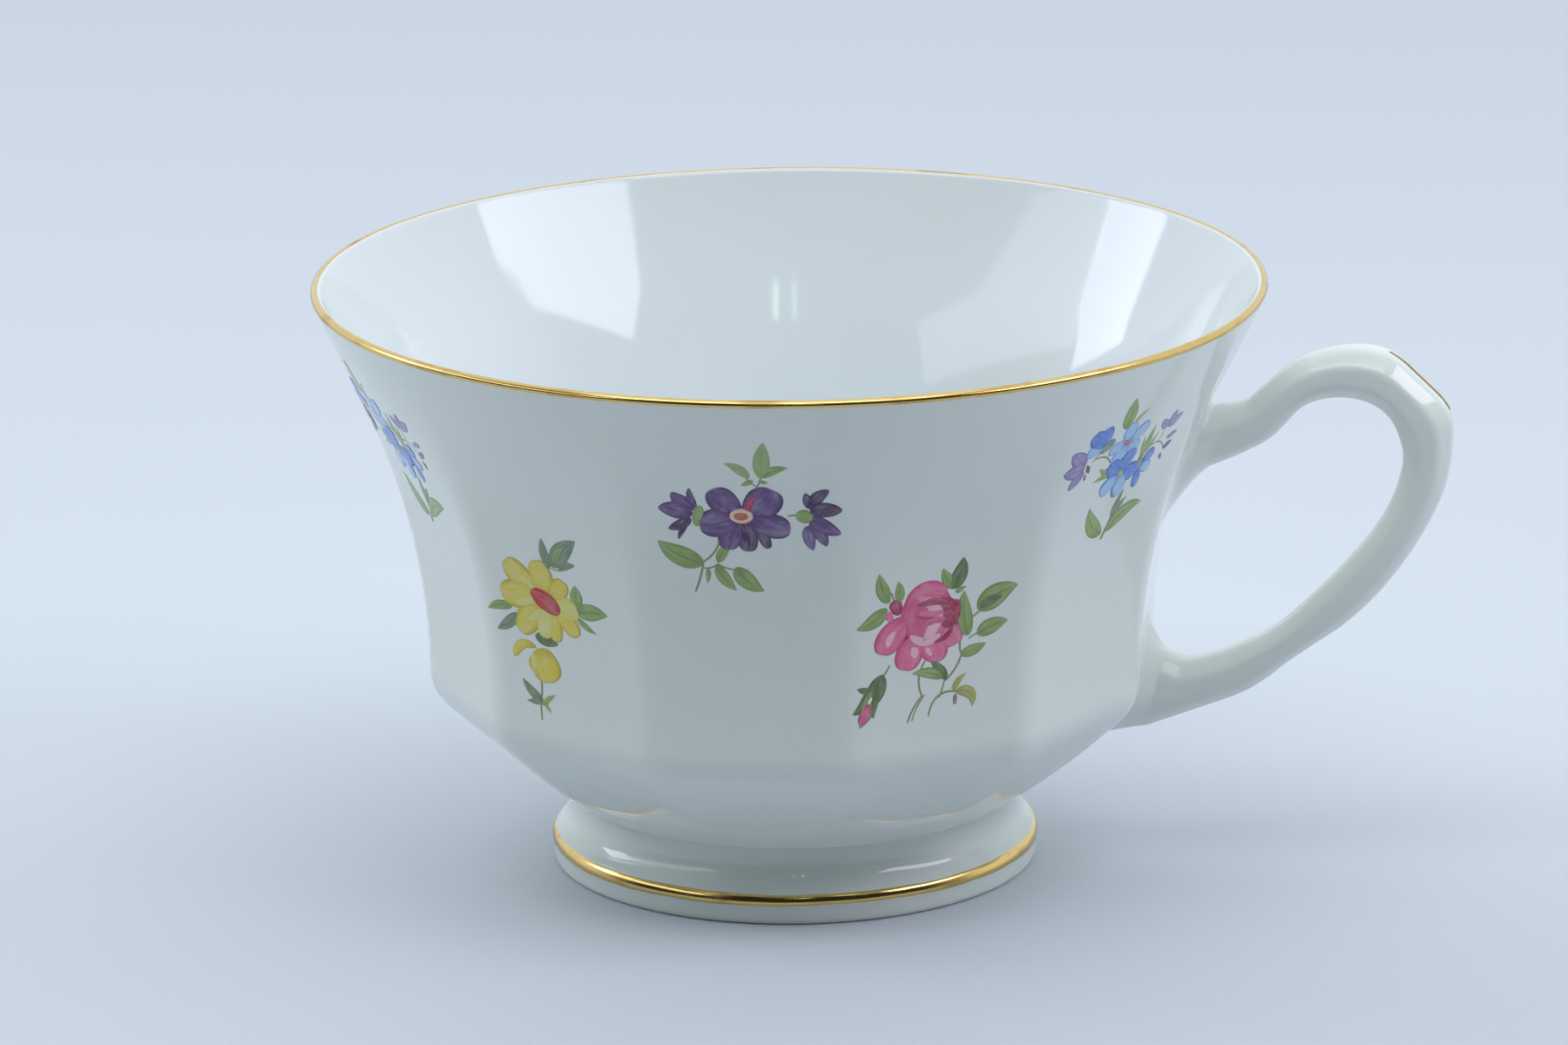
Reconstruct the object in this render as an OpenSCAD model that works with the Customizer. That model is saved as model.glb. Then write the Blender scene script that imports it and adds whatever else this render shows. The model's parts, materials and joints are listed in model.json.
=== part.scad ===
// Teacup: a twelve-sided flared bowl on a turned foot ring, with a loop handle, gilding and enamel sprays.
// Millimetres, +Z up. The origin is on the bowl's axis at table level, and the handle is on +X.

/* [Bowl] */
// Height of the lip above the table
cup_h = 65; // [63:0.5:67]
// Radius across the corners at the narrow waist of the flare, just above the shoulder
belly_r = 40; // [38:0.5:42]
// Height of that narrow waist
belly_z = 23; // [22:0.5:24]
// Radius of the flare's curve, seen from the side
flare_r = 72; // [68:1:78]
// Lean of the wall at the lip, from upright
flare_a = 24.7; // [22:0.1:26]
// Radius of the rounded shoulder below the waist
shoulder_r = 5.5; // [5:0.1:6]
// Slope of the underside where it leaves the shoulder, from upright
shoulder_a = 45; // [40:1:50]
// Radius of the underside's shallow curve
under_r = 90; // [80:1:120]
// Height of the bowl's flat bottom
base_z = 8; // [7.8:0.1:8.4]
// Thickness of the lip
rim_t = 1.1; // [0.9:0.1:1.4]
// Thickness of the wall at the waist
wall_t = 2.2; // [1.8:0.1:2.6]
// Thickness of the bottom
floor_t = 3.2; // [2.6:0.1:4]
// Height below which the sides are fully flat
flat_z = 40; // [36:0.5:44]
// Height above which the wall is round
round_z = 63; // [60:0.5:63]

/* [Foot] */
// Radius of the foot at its waist
foot_waist_r = 24.2; // [23.8:0.1:24.6]
// Height of the foot's waist
foot_waist_z = 6.5; // [6.3:0.1:6.6]
// Centre of the rounded flange, from the axis
flange_r = 25.1; // [25:0.1:25.4]
// Height of the flange's centre
flange_z = 2.3; // [2.2:0.1:2.4]
// Radius of the flange's rounded edge
flange_round = 1.6; // [1.5:0.05:1.7]
// Inner radius of the foot ring
foot_in_r = 21; // [20:0.1:21.5]

/* [Handle] */
// Width of the upper root where it spreads on the wall
root_top_w = 10.4; // [9:0.1:12]
// Width of the lower root where it spreads on the wall
root_low_w = 10.4; // [9:0.1:12]
// How sharply the roots spread into the wall
root_spread = 1.3; // [1.2:0.1:2]
// Width of the gilded line on the thumb rest
stripe_w = 1.2; // [0.8:0.1:2]

/* [Joints and finish] */
// Thickness of the slip that joins the pieces
slip_t = 0.3; // [0.2:0.05:0.4]
// Thickness of the gilding
gild_t = 0.08; // [0.06:0.01:0.15]
// Thickness of an enamel spray
film_t = 0.1; // [0.08:0.01:0.2]

/* [Hidden] */

sides = 12;
side_a = 360 / sides;
corner_round = 0.17;     // rounding of the bowl's corners, as a share of its radius
handle_sides = 8;
handle_round = 0.45;     // rounding of the handle's edges, as a share of its half width
around = 96;             // points round the bowl
section_n = 32;          // points round the handle and the sprays
revolve_n = 96;

porcelain = "ghostwhite";
slip = "gainsboro";
gold = "darkgoldenrod";

// Where the shoulder hands over to the underside, and the flare's curve to its straight part
shoulder_pt = [belly_r - shoulder_r * (1 - cos(shoulder_a)), belly_z - shoulder_r * sin(shoulder_a)];
flare_pt = [belly_r + flare_r * (1 - cos(flare_a)), belly_z + flare_r * sin(flare_a)];
lip_z = cup_h - rim_t / 2;
lip_start_z = lip_z - rim_t / 2 * sin(flare_a);
lip_r = corner_r(lip_start_z) - rim_t / 2 * cos(flare_a);
floor_z = base_z + floor_t;
bowl_curve_z = belly_z + 3;    // the inside curves in to the floor below this
bowl_curve_p = 2.5;            // squareness of that curve
inner_ease = 1.4;              // how gently the inside turns round and the wall thins towards the lip
under_flat_z = 15;             // the underside is round at the bottom and fully flat-sided above this
gilt_over_a = 150;             // how far over the lip's round the gilding goes, on the lip's own grid
gilt_top_a = 43;               // angles on the flange's round between which it is gilded
gilt_low_a = -4;
edge_a = -18;                  // angle at which the flange's round ends in the foot's upright edge

// Handle stations along its outer and inner edges:
// [out from the waist, height] of the outer edge, the same of the inner edge, and the width
handle_stations = [
    [8, 52, 6, 45.2, 7.2],
    [9.8, 52.5, 9.6, 46.8, 6.8],
    [11.3, 53.8, 12.6, 48.6, 6.6],
    [14.3, 56.4, 15.5, 51.7, 6.6],
    [17, 57.9, 17.8, 52.8, 6.6],
    [21, 58.7, 20.6, 53.1, 6.8],
    [25, 58.1, 23.2, 52.5, 7],
    [28.5, 55.3, 25.2, 50.9, 7],
    [31.6, 51.8, 26.3, 48.5, 7],
    [32, 48, 26.6, 46.6, 6.8],
    [31.4, 43.9, 26.3, 44.6, 6.6],
    [30, 40.2, 25.4, 41.7, 6.4],
    [27.6, 35.9, 23.5, 38.3, 6.4],
    [24.3, 31.4, 20.5, 34.5, 6.4],
    [20.7, 27.8, 17.6, 31.4, 6.4],
    [17.4, 25.4, 14.7, 28.5, 6.4],
    [14.4, 23.2, 12.1, 26.5, 6.4],
    [11.7, 21, 9.6, 25.2, 6.5],
    [9, 19.4, 7.3, 24.2, 6.6],
    [5.4, 18, 5, 23.5, 6.8],
    [2, 16.7, 3, 23.3, 7],
    [-1.2, 15.5, 1, 24.1, 7.4],
];
handle_steps = 2;        // rings between two stations
root_steps = 5;          // rings in each spreading root
root_top = [0, 45.5, root_top_w / 2, 6.1];    // sideways, height, half width and half height on the wall
root_low = [0, 20.7, root_low_w / 2, 6.5];
stripe_from = 6;         // stations between which the gilded line runs
stripe_to = 8;

// Sprays: side, sideways place, height, half width, half height, number of lobes
violet_size = [1.3, 50.7, 9, 9, 5];
rose_size = [-1, 35, 8.2, 10.4, 4];
blue_size = [-2.4, 51, 8.6, 9.2, 3];
yellow_size = [-2.4, 35, 7, 9.8, 3];

function smooth(t) = let (c = min(max(t, 0), 1)) c * c * (3 - 2 * c);
function mix(a, b, t) = a + (b - a) * t;

// Radius of a rounded polygon whose rounded corners lie at radius 1
function polygon_r(n, round_share, angle) =
    let (step = 360 / n)
    let (off = abs(angle - step * round(angle / step)))
    let (c = 1 - round_share)
    let (flat = c * cos(step / 2) + round_share)
    let (turn = atan(c * sin(step / 2) / flat))
    let (from_corner = step / 2 - off)
    off < turn ? flat / cos(off)
               : c * cos(from_corner) + sqrt(pow(round_share, 2) - pow(c * sin(from_corner), 2));

// Radius of the bowl's corners at a height
function corner_r(z) =
    z < shoulder_pt[1] ?
        let (a = asin(sin(shoulder_a) + (shoulder_pt[1] - z) / under_r))
        shoulder_pt[0] - under_r * (cos(shoulder_a) - cos(a))
    : z < belly_z ? belly_r - shoulder_r + sqrt(pow(shoulder_r, 2) - pow(belly_z - z, 2))
    : z < flare_pt[1] ? belly_r + flare_r - sqrt(pow(flare_r, 2) - pow(z - belly_z, 2))
    : flare_pt[0] + (z - flare_pt[1]) * tan(flare_a);

// How flat the sides are at a height, from 0 for round to 1. They round off again towards the foot.
function flatness(z) =
    smooth((round_z - z) / (round_z - flat_z)) * smooth((z - base_z) / (under_flat_z - base_z));
function wall_r(angle, z) =
    corner_r(z) * (1 - flatness(z) * (1 - polygon_r(sides, corner_round, angle)));

// Point on the outside of the bowl, out from a side's middle line and lifted by a gap
function wall_x(u, z, x, tries) =
    tries == 0 ? x : wall_x(u, z, sqrt(pow(wall_r(atan2(u, x), z), 2) - u * u), tries - 1);
function wall_point(side, u, z, gap) =
    let (x = wall_x(u, z, corner_r(z), 4) + gap)
    [x * cos(side) - u * sin(side), x * sin(side) + u * cos(side), z];

// Radius of the inside of the bowl at a height. The inside is round, and starts from the middle of a side.
function inner_r(z) =
    z < bowl_curve_z ?
        inner_r(bowl_curve_z)
        * pow(1 - pow((bowl_curve_z - z) / (bowl_curve_z - floor_z), bowl_curve_p), 1 / bowl_curve_p)
    : let (rise = pow((z - bowl_curve_z) / (lip_z - bowl_curve_z), inner_ease))
        corner_r(z) * mix(polygon_r(sides, corner_round, 0), 1, rise)
        - mix(wall_t, rim_t / cos(flare_a), rise);

// The bowl's rings, from the bottom's edge over the lip to the floor: [radius, height, flatness]
function lip_arc(radius, from, to, steps) =
    [for (i = [0:steps]) let (a = mix(from, to, i / steps))
        [lip_r + radius * cos(a), lip_z + radius * sin(a)]];
under_rings = [for (i = [0:7]) let (z = mix(base_z, shoulder_pt[1], i / 8)) [corner_r(z), z, flatness(z)]];
shoulder_rings = [for (i = [0:6]) let (z = belly_z - shoulder_r * sin(shoulder_a * (1 - i / 7)))
    [corner_r(z), z, flatness(z)]];
flare_rings = [for (i = [0:20]) let (z = mix(belly_z, lip_start_z, i / 21)) [corner_r(z), z, flatness(z)]];
lip_rings = [for (p = lip_arc(rim_t / 2, -flare_a, 180 - flare_a, 6)) [p[0], p[1], 0]];
inner_top = lip_z + rim_t / 2 * sin(flare_a);
inner_rings = [for (i = [1:8]) let (z = mix(inner_top, bowl_curve_z, i / 8)) [inner_r(z), z, 0]];
floor_rings = [for (i = [1:7]) let (a = 90 * i / 8)
    [inner_r(bowl_curve_z) * pow(cos(a), 2 / bowl_curve_p),
     bowl_curve_z - (bowl_curve_z - floor_z) * pow(sin(a), 2 / bowl_curve_p), 0]];
bowl_rings = concat(under_rings, shoulder_rings, flare_rings, lip_rings, inner_rings, floor_rings);

function bowl_ring(ring) =
    [for (i = [0:around - 1]) let (a = 360 * i / around)
        let (r = ring[0] * (1 - ring[2] * (1 - polygon_r(sides, corner_round, a))))
        [r * cos(a), r * sin(a), ring[1]]];

// A closed skin over rings of points, from one end point to the other
module skin(first, rings, last) {
    n = len(rings[0]);
    m = len(rings);
    points = concat([first], [for (ring = rings) each ring], [last]);
    start_fan = [for (i = [0:n - 1]) [0, 1 + i, 1 + (i + 1) % n]];
    walls = [for (j = [0:m - 2]) for (i = [0:n - 1])
        let (a = 1 + j * n + i, b = 1 + j * n + (i + 1) % n)
        each [[a, a + n, b], [b, a + n, b + n]]];
    end_fan = [for (i = [0:n - 1]) [m * n + 1, 1 + (m - 1) * n + (i + 1) % n, 1 + (m - 1) * n + i]];
    polyhedron(points = points, faces = concat(start_fan, walls, end_fan), convexity = 10);
}

// A closed ring of a cross-section turned about the axis on the bowl's own grid
module grid_ring(outline) {
    n = len(outline);
    points = [for (i = [0:around - 1]) let (a = 360 * i / around)
        for (p = outline) [p[0] * cos(a), p[0] * sin(a), p[1]]];
    faces = [for (i = [0:around - 1]) for (j = [0:n - 1])
        let (a = i * n + j, b = i * n + (j + 1) % n)
        let (c = (i + 1) % around * n + j, d = (i + 1) % around * n + (j + 1) % n)
        each [[a, b, c], [b, d, c]]];
    polyhedron(points = points, faces = faces, convexity = 10);
}

// A ring of points on the wall: side, centre and half sizes, scale, gap, and lobed edge
function wall_ring(side, place, scale, gap, lobes) =
    [for (i = [0:section_n - 1]) let (a = -360 * i / section_n)
        let (s = scale * (1 + (lobes == 0 ? 0 : 0.12 * cos(lobes * a))))
        wall_point(side, place[0] + place[2] * s * sin(a), place[1] + place[3] * s * cos(a), gap)];

// A thin piece that lies on the wall
module wall_patch(side, place, thickness, lobes) {
    shares = [1 / 3, 2 / 3, 1];
    skin(
        wall_point(side, place[0], place[1], thickness),
        concat(
            [for (s = shares) wall_ring(side, place, s, thickness, lobes)],
            [for (i = [2:-1:0]) wall_ring(side, place, shares[i], 0, lobes)]),
        wall_point(side, place[0], place[1], 0));
}

// One value of a smooth curve through four stations
function blend4(a, b, c, d, t) =
    b + (c - a) * t / 2 + (2 * a - 5 * b + 4 * c - d) * t * t / 2 + (3 * (b - c) + d - a) * t * t * t / 2;
function handle_at(k, t) =
    let (last = len(handle_stations) - 1)
    blend4(handle_stations[max(k - 1, 0)], handle_stations[k], handle_stations[min(k + 1, last)],
        handle_stations[min(k + 2, last)], t);

// The handle's ring at a station: its outer and inner edges and its width
function handle_ring(s) =
    let (mid = [belly_r + (s[0] + s[2]) / 2, 0, (s[1] + s[3]) / 2])
    let (half = [(s[0] - s[2]) / 2, 0, (s[1] - s[3]) / 2])
    let (flat = polygon_r(handle_sides, handle_round, 0))
    [for (i = [0:section_n - 1]) let (a = -360 * i / section_n)
        let (r = polygon_r(handle_sides, handle_round, a) / flat)
        mid + half * r * cos(a) + [0, s[4] / 2 * r * sin(a), 0]];

// Rings that spread from a handle ring on to the wall
function root_rings(ring, place, side_flip) =
    let (wall = [for (i = [0:section_n - 1]) let (a = -360 * i / section_n)
        wall_point(0, place[2] * sin(a), place[1] + side_flip * place[3] * cos(a), slip_t)])
    [for (k = [1:root_steps]) let (u = k / root_steps)
        [for (i = [0:section_n - 1])
            [mix(ring[i][0], wall[i][0], u),
             mix(ring[i][1], wall[i][1], pow(u, root_spread)),
             mix(ring[i][2], wall[i][2], pow(u, root_spread))]]];
function reversed(list) = [for (i = [len(list) - 1:-1:0]) list[i]];

module bowl() {
    color(porcelain)
        skin([0, 0, base_z], [for (ring = bowl_rings) bowl_ring(ring)], [0, 0, floor_z]);
}

// The foot's outline: a hollow cove under the bowl that runs straight into the flange's rounded edge
foot_top = base_z - slip_t;
flange = [flange_r, flange_z];
flange_out = flange_r - foot_waist_r;
cove_h = foot_waist_z - flange_z;
cove_r = (pow(flange_out, 2) + pow(cove_h, 2) - pow(flange_round, 2)) / (2 * (flange_round + flange_out));
cove = [foot_waist_r + cove_r, foot_waist_z];
cove_top_a = asin((foot_top - foot_waist_z) / cove_r);
cove_low_a = atan2(cove_h, cove_r - flange_out);
cove_arc = [for (i = [0:10]) let (a = mix(cove_top_a, -cove_low_a, i / 10))
    cove + cove_r * [-cos(a), sin(a)]];
function flange_arc(from, to, steps) =
    [for (i = [1:steps]) let (a = mix(from, to, i / steps)) flange + flange_round * [cos(a), sin(a)]];
gilt_arc = concat(flange_arc(gilt_top_a, gilt_top_a, 1), flange_arc(gilt_top_a, gilt_low_a, 5));
edge_r = flange_r + flange_round * cos(edge_a);
foot_outline = concat(
    cove_arc,
    flange_arc(cove_low_a, gilt_top_a, 3),
    flange_arc(gilt_top_a, gilt_low_a, 5),
    flange_arc(gilt_low_a, edge_a, 2),
    [[edge_r, 0.9], [edge_r - 0.1, 0.35], [edge_r - 0.4, 0], [foot_in_r + 1.2, 0], [foot_in_r + 0.6, 0.5],
     [foot_in_r, 2.5], [foot_in_r, foot_top]]);

module foot() {
    color(porcelain) rotate_extrude($fn = revolve_n) polygon(foot_outline);
}

module foot_slip_joint() {
    color(slip) translate([0, 0, foot_top]) difference() {
        cylinder(h = slip_t, r = cove_arc[0][0], $fn = revolve_n);
        translate([0, 0, -1]) cylinder(h = slip_t + 2, r = foot_in_r, $fn = revolve_n);
    }
}

module handle() {
    last = len(handle_stations) - 1;
    body = [for (k = [0:last - 1]) for (i = [0:handle_steps - 1])
        handle_ring(handle_at(k, i / handle_steps))];
    end = handle_ring(handle_stations[last]);
    caps = [1 / 3, 2 / 3];
    top_root = reversed(root_rings(body[0], root_top, 1));
    low_root = root_rings(end, root_low, -1);
    low_cap = [root_low[0], root_low[1], root_low[2], -root_low[3]];
    color(porcelain) skin(
        wall_point(0, root_top[0], root_top[1], slip_t),
        concat(
            [for (s = caps) wall_ring(0, root_top, s, slip_t, 0)],
            top_root, body, [end], low_root,
            [for (s = reversed(caps)) wall_ring(0, low_cap, s, slip_t, 0)]),
        wall_point(0, root_low[0], root_low[1], slip_t));
}

module upper_handle_slip_joint() {
    color(slip) wall_patch(0, root_top, slip_t, 0);
}

module lower_handle_slip_joint() {
    color(slip) wall_patch(0, root_low, slip_t, 0);
}

module rim_gold_band() {
    inside = lip_arc(rim_t / 2, -flare_a, gilt_over_a - flare_a, 5);
    outside = lip_arc(rim_t / 2 + gild_t, -flare_a, gilt_over_a - flare_a, 5);
    color(gold) grid_ring(concat(outside, reversed(inside)));
}

module foot_gold_band() {
    lift = (flange_round + gild_t) / flange_round;
    outside = [for (p = gilt_arc) flange + (p - flange) * lift];
    color(gold) rotate_extrude($fn = revolve_n) polygon(concat(outside, reversed(gilt_arc)));
}

module handle_gold_stripe() {
    rings = [for (k = [stripe_from:stripe_to - 1]) for (i = [0:handle_steps])
        if (i < handle_steps || k == stripe_to - 1)
            let (s = handle_at(k, i / handle_steps))
            let (edge = [belly_r + s[0], 0, s[1]])
            let (lift = gild_t * [s[0] - s[2], 0, s[1] - s[3]] / norm([s[0] - s[2], s[1] - s[3]]))
            [edge + [0, stripe_w / 2, 0], edge + lift + [0, stripe_w / 2, 0],
             edge + lift - [0, stripe_w / 2, 0], edge - [0, stripe_w / 2, 0]]];
    ends = [for (r = [rings[0], rings[len(rings) - 1]]) (r[0] + r[1] + r[2] + r[3]) / 4];
    color(gold) skin(ends[0], rings, ends[1]);
}

module spray(side, size, shade) {
    color(shade) wall_patch(side, size, film_t, size[4]);
}

bowl();
foot();
handle();
foot_slip_joint();
upper_handle_slip_joint();
lower_handle_slip_joint();
rim_gold_band();
foot_gold_band();
handle_gold_stripe();
spray(-90, violet_size, "mediumpurple");  // violet_spray_front
spray(-60, rose_size, "palevioletred");  // rose_spray_front_right
spray(-30, blue_size, "cornflowerblue");  // blue_spray_right
spray(30, violet_size, "mediumpurple");  // violet_spray_back_right
spray(60, rose_size, "palevioletred");  // rose_spray_back_right
spray(90, blue_size, "cornflowerblue");  // blue_spray_back
spray(120, yellow_size, "goldenrod");  // yellow_spray_back_left
spray(150, violet_size, "mediumpurple");  // violet_spray_back_left
spray(180, rose_size, "palevioletred");  // rose_spray_left
spray(210, blue_size, "cornflowerblue");  // blue_spray_front_left
spray(240, yellow_size, "goldenrod");  // yellow_spray_front_left
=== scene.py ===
"""A gilt porcelain teacup: a flared twelve-sided bowl on a turned foot, a handle, gilding and sprays."""

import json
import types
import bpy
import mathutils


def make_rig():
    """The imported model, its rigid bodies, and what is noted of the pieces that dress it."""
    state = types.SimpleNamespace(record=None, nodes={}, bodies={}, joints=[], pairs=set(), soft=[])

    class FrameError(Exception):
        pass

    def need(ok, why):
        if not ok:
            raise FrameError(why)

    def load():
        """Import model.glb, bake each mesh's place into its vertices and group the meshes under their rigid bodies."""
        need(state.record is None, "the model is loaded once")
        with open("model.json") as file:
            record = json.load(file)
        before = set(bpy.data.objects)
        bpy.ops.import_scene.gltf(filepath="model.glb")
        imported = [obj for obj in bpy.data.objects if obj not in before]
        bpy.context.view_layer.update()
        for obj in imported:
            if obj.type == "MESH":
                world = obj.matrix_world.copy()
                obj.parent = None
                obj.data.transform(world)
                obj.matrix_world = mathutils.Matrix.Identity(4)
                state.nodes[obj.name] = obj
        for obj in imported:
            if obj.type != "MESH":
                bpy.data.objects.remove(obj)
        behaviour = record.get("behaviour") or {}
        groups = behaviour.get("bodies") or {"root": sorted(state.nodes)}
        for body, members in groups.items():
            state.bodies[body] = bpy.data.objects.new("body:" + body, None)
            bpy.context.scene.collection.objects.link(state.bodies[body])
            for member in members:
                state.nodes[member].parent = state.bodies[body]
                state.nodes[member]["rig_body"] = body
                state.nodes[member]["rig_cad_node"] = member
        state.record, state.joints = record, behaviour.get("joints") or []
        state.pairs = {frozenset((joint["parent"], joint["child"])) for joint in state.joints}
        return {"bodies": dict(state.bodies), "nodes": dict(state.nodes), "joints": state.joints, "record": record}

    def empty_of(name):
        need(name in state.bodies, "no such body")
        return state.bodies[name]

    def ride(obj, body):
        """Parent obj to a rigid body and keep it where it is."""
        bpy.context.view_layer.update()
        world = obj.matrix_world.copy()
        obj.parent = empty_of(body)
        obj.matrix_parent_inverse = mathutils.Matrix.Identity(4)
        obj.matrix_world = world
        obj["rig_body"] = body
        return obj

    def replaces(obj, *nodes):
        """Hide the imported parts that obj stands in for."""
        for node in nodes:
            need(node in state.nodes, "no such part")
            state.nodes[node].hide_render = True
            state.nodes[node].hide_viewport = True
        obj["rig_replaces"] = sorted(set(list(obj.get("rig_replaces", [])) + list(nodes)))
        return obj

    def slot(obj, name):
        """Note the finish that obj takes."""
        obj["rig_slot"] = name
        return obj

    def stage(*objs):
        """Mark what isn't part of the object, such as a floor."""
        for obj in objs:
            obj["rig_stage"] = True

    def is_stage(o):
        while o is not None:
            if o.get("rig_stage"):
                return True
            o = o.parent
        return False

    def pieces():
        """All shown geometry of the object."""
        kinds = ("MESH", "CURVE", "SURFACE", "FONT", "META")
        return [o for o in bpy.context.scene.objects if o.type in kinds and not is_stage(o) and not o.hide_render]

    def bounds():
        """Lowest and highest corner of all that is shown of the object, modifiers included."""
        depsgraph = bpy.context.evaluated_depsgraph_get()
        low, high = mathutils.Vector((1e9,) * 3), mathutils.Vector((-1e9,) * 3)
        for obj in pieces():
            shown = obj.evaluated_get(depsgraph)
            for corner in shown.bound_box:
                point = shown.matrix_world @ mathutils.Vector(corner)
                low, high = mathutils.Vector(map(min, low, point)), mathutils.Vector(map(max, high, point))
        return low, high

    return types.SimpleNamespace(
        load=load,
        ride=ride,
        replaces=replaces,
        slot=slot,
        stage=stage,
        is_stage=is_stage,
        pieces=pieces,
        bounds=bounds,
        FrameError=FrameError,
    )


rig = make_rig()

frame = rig.load()
CAD_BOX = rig.bounds()

import json
import math

import bpy
import numpy as np
from bpy.props import FloatProperty, FloatVectorProperty, IntProperty, PointerProperty
from bpy.types import Operator, Panel, PropertyGroup
from mathutils import Matrix, Vector

bl_info = {
    "name": "Gilt teacup",
    "version": (1, 0, 0),
    "blender": (4, 5, 0),
    "location": "3D View > Sidebar > Teacup",
    "description": "Makes a flared porcelain teacup with gilding and enamel flower sprays",
    "category": "Add Mesh",
}

MM = 0.001
BODY = "root"
TURN = 2 * math.pi
SUNK = 0.03 * MM            # how far a layer's edge lies below the surface it is laid on
STROKE_SHIFT = 0.618        # step between the patterns of one brush stroke and the next


# ---------------------------------------------------------------- sizes and colours a user would change

def length(name, description, millimetres):
    """A length property whose default is given in millimetres."""
    return FloatProperty(name=name, description=description, default=millimetres * MM, min=0.0,
                         subtype="DISTANCE", unit="LENGTH", precision=5)


def angle(name, description, degrees):
    """An angle property whose default is given in degrees."""
    return FloatProperty(name=name, description=description, default=math.radians(degrees),
                         subtype="ANGLE", unit="ROTATION")


def colour(name, description, red, green, blue):
    """A colour property whose default is given as display values from 0 to 255."""
    return FloatVectorProperty(name=name, description=description, default=fired(red, green, blue)[:3],
                               size=3, min=0.0, max=1.0, subtype="COLOR")


def fired(red, green, blue):
    """A paint's linear colour, from display values from 0 to 255."""
    def linear(value):
        share = value / 255
        return share / 12.92 if share <= 0.04045 else ((share + 0.055) / 1.055) ** 2.4
    return (linear(red), linear(green), linear(blue), 1.0)


class BowlSizes(PropertyGroup):
    """Sizes of the flared bowl."""
    height: length("Height", "Height of the lip above the table", 65)
    waist_radius: length("Waist radius", "Radius across the corners at the bottom of the flare", 40)
    waist_height: length("Waist height", "Height of the bottom of the flare", 23)
    flare_radius: length("Flare radius", "Radius of the flare's curve, seen from the side", 72)
    flare_lean: angle("Flare lean", "Lean of the wall at the lip, from upright", 24.7)
    shoulder_radius: length("Shoulder radius", "Radius of the rounded shoulder below the waist", 5.5)
    shoulder_lean: angle("Shoulder lean", "Slope of the underside where it leaves the shoulder", 45)
    under_radius: length("Underside radius", "Radius of the underside's shallow curve", 90)
    base_height: length("Base height", "Height of the bowl's flat bottom", 8)
    lip_thickness: length("Lip thickness", "Thickness of the lip", 1.1)
    wall_thickness: length("Wall thickness", "Thickness of the wall at the waist", 2.2)
    floor_thickness: length("Floor thickness", "Thickness of the bottom", 3.2)
    flat_height: length("Flat height", "Height below which the sides are fully flat", 40)
    round_height: length("Round height", "Height above which the wall is round", 63)
    sides: IntProperty(name="Sides", description="Number of flat sides", default=12, min=3, max=24)
    corner_rounding: FloatProperty(name="Corner rounding", description="Rounding as a share of the radius",
                                   default=0.17, min=0.02, max=0.9, subtype="FACTOR")


class FootSizes(PropertyGroup):
    """Sizes of the turned foot."""
    waist_radius: length("Waist radius", "Radius of the foot at its waist", 24.2)
    waist_height: length("Waist height", "Height of the foot's waist", 6.5)
    flange_radius: length("Flange radius", "Centre of the rounded flange, from the axis", 25.1)
    flange_height: length("Flange height", "Height of the flange's centre", 2.3)
    flange_rounding: length("Flange rounding", "Radius of the flange's rounded edge", 1.6)
    inner_radius: length("Inner radius", "Inner radius of the foot ring", 21)


class HandleSizes(PropertyGroup):
    """Sizes of the loop handle."""
    root_width: length("Root width", "Width of a root where it spreads on the wall", 10.4)
    edge_rounding: FloatProperty(name="Edge rounding", description="Rounding as a share of the half width",
                                 default=0.74, min=0.05, max=0.95, subtype="FACTOR")
    thumb_rounding: FloatProperty(name="Thumb rest rounding", description="The same on the thumb rest",
                                  default=0.4, min=0.05, max=0.95, subtype="FACTOR")
    fillet: length("Fillet", "How far the smoothed slip runs out on the wall", 2.0)


class GildingSizes(PropertyGroup):
    """Sizes and colours of the gilding."""
    thickness: length("Thickness", "Thickness of the gold", 0.08)
    wander: angle("Wander", "How far the painted edges wander", 4)
    lip_low: angle("Lip low edge", "Lower edge of the gold on the lip's round", -13)
    lip_over: angle("Lip far edge", "How far over the lip's round the gold goes", 107)
    foot_low: angle("Foot low edge", "Lower edge of the gold on the foot's flange", -4)
    foot_top: angle("Foot top edge", "Upper edge of the gold on the foot's flange", 43)
    stripe_width: length("Stripe width", "Width of the line on the thumb rest", 0.9)
    bright: colour("Bright gold", "Gold where it is burnished", 224, 191, 121)
    worn: colour("Worn gold", "Gold where it is thin", 176, 136, 72)
    # Painted shade: the stripe's darker gold stands in for the shade it shows where it is seen edge-on.
    shaded_stripe: colour("Shaded gold", "The dull gold on the thumb rest", 126, 106, 78)


class Finishes(PropertyGroup):
    """Colours and thickness of the glaze and enamel."""
    glaze: colour("Glaze", "Glazed porcelain", 229, 235, 230)
    # Painted light: the inside colour is whiter and bluer than the outside glaze, standing in for the light that falls
    # inside the bowl.
    glaze_inside_painted_light: colour("Inner glaze", "The thicker, whiter glaze inside the bowl", 229, 234, 238)
    glaze_deep: colour("Pooled glaze", "Glaze where it pools", 222, 229, 225)
    enamel_lift: length("Enamel lift", "Height of a brush stroke's crown", 0.03)
    enamel_layer: length("Enamel layer", "Height that each later layer of paint adds", 0.008)


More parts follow.
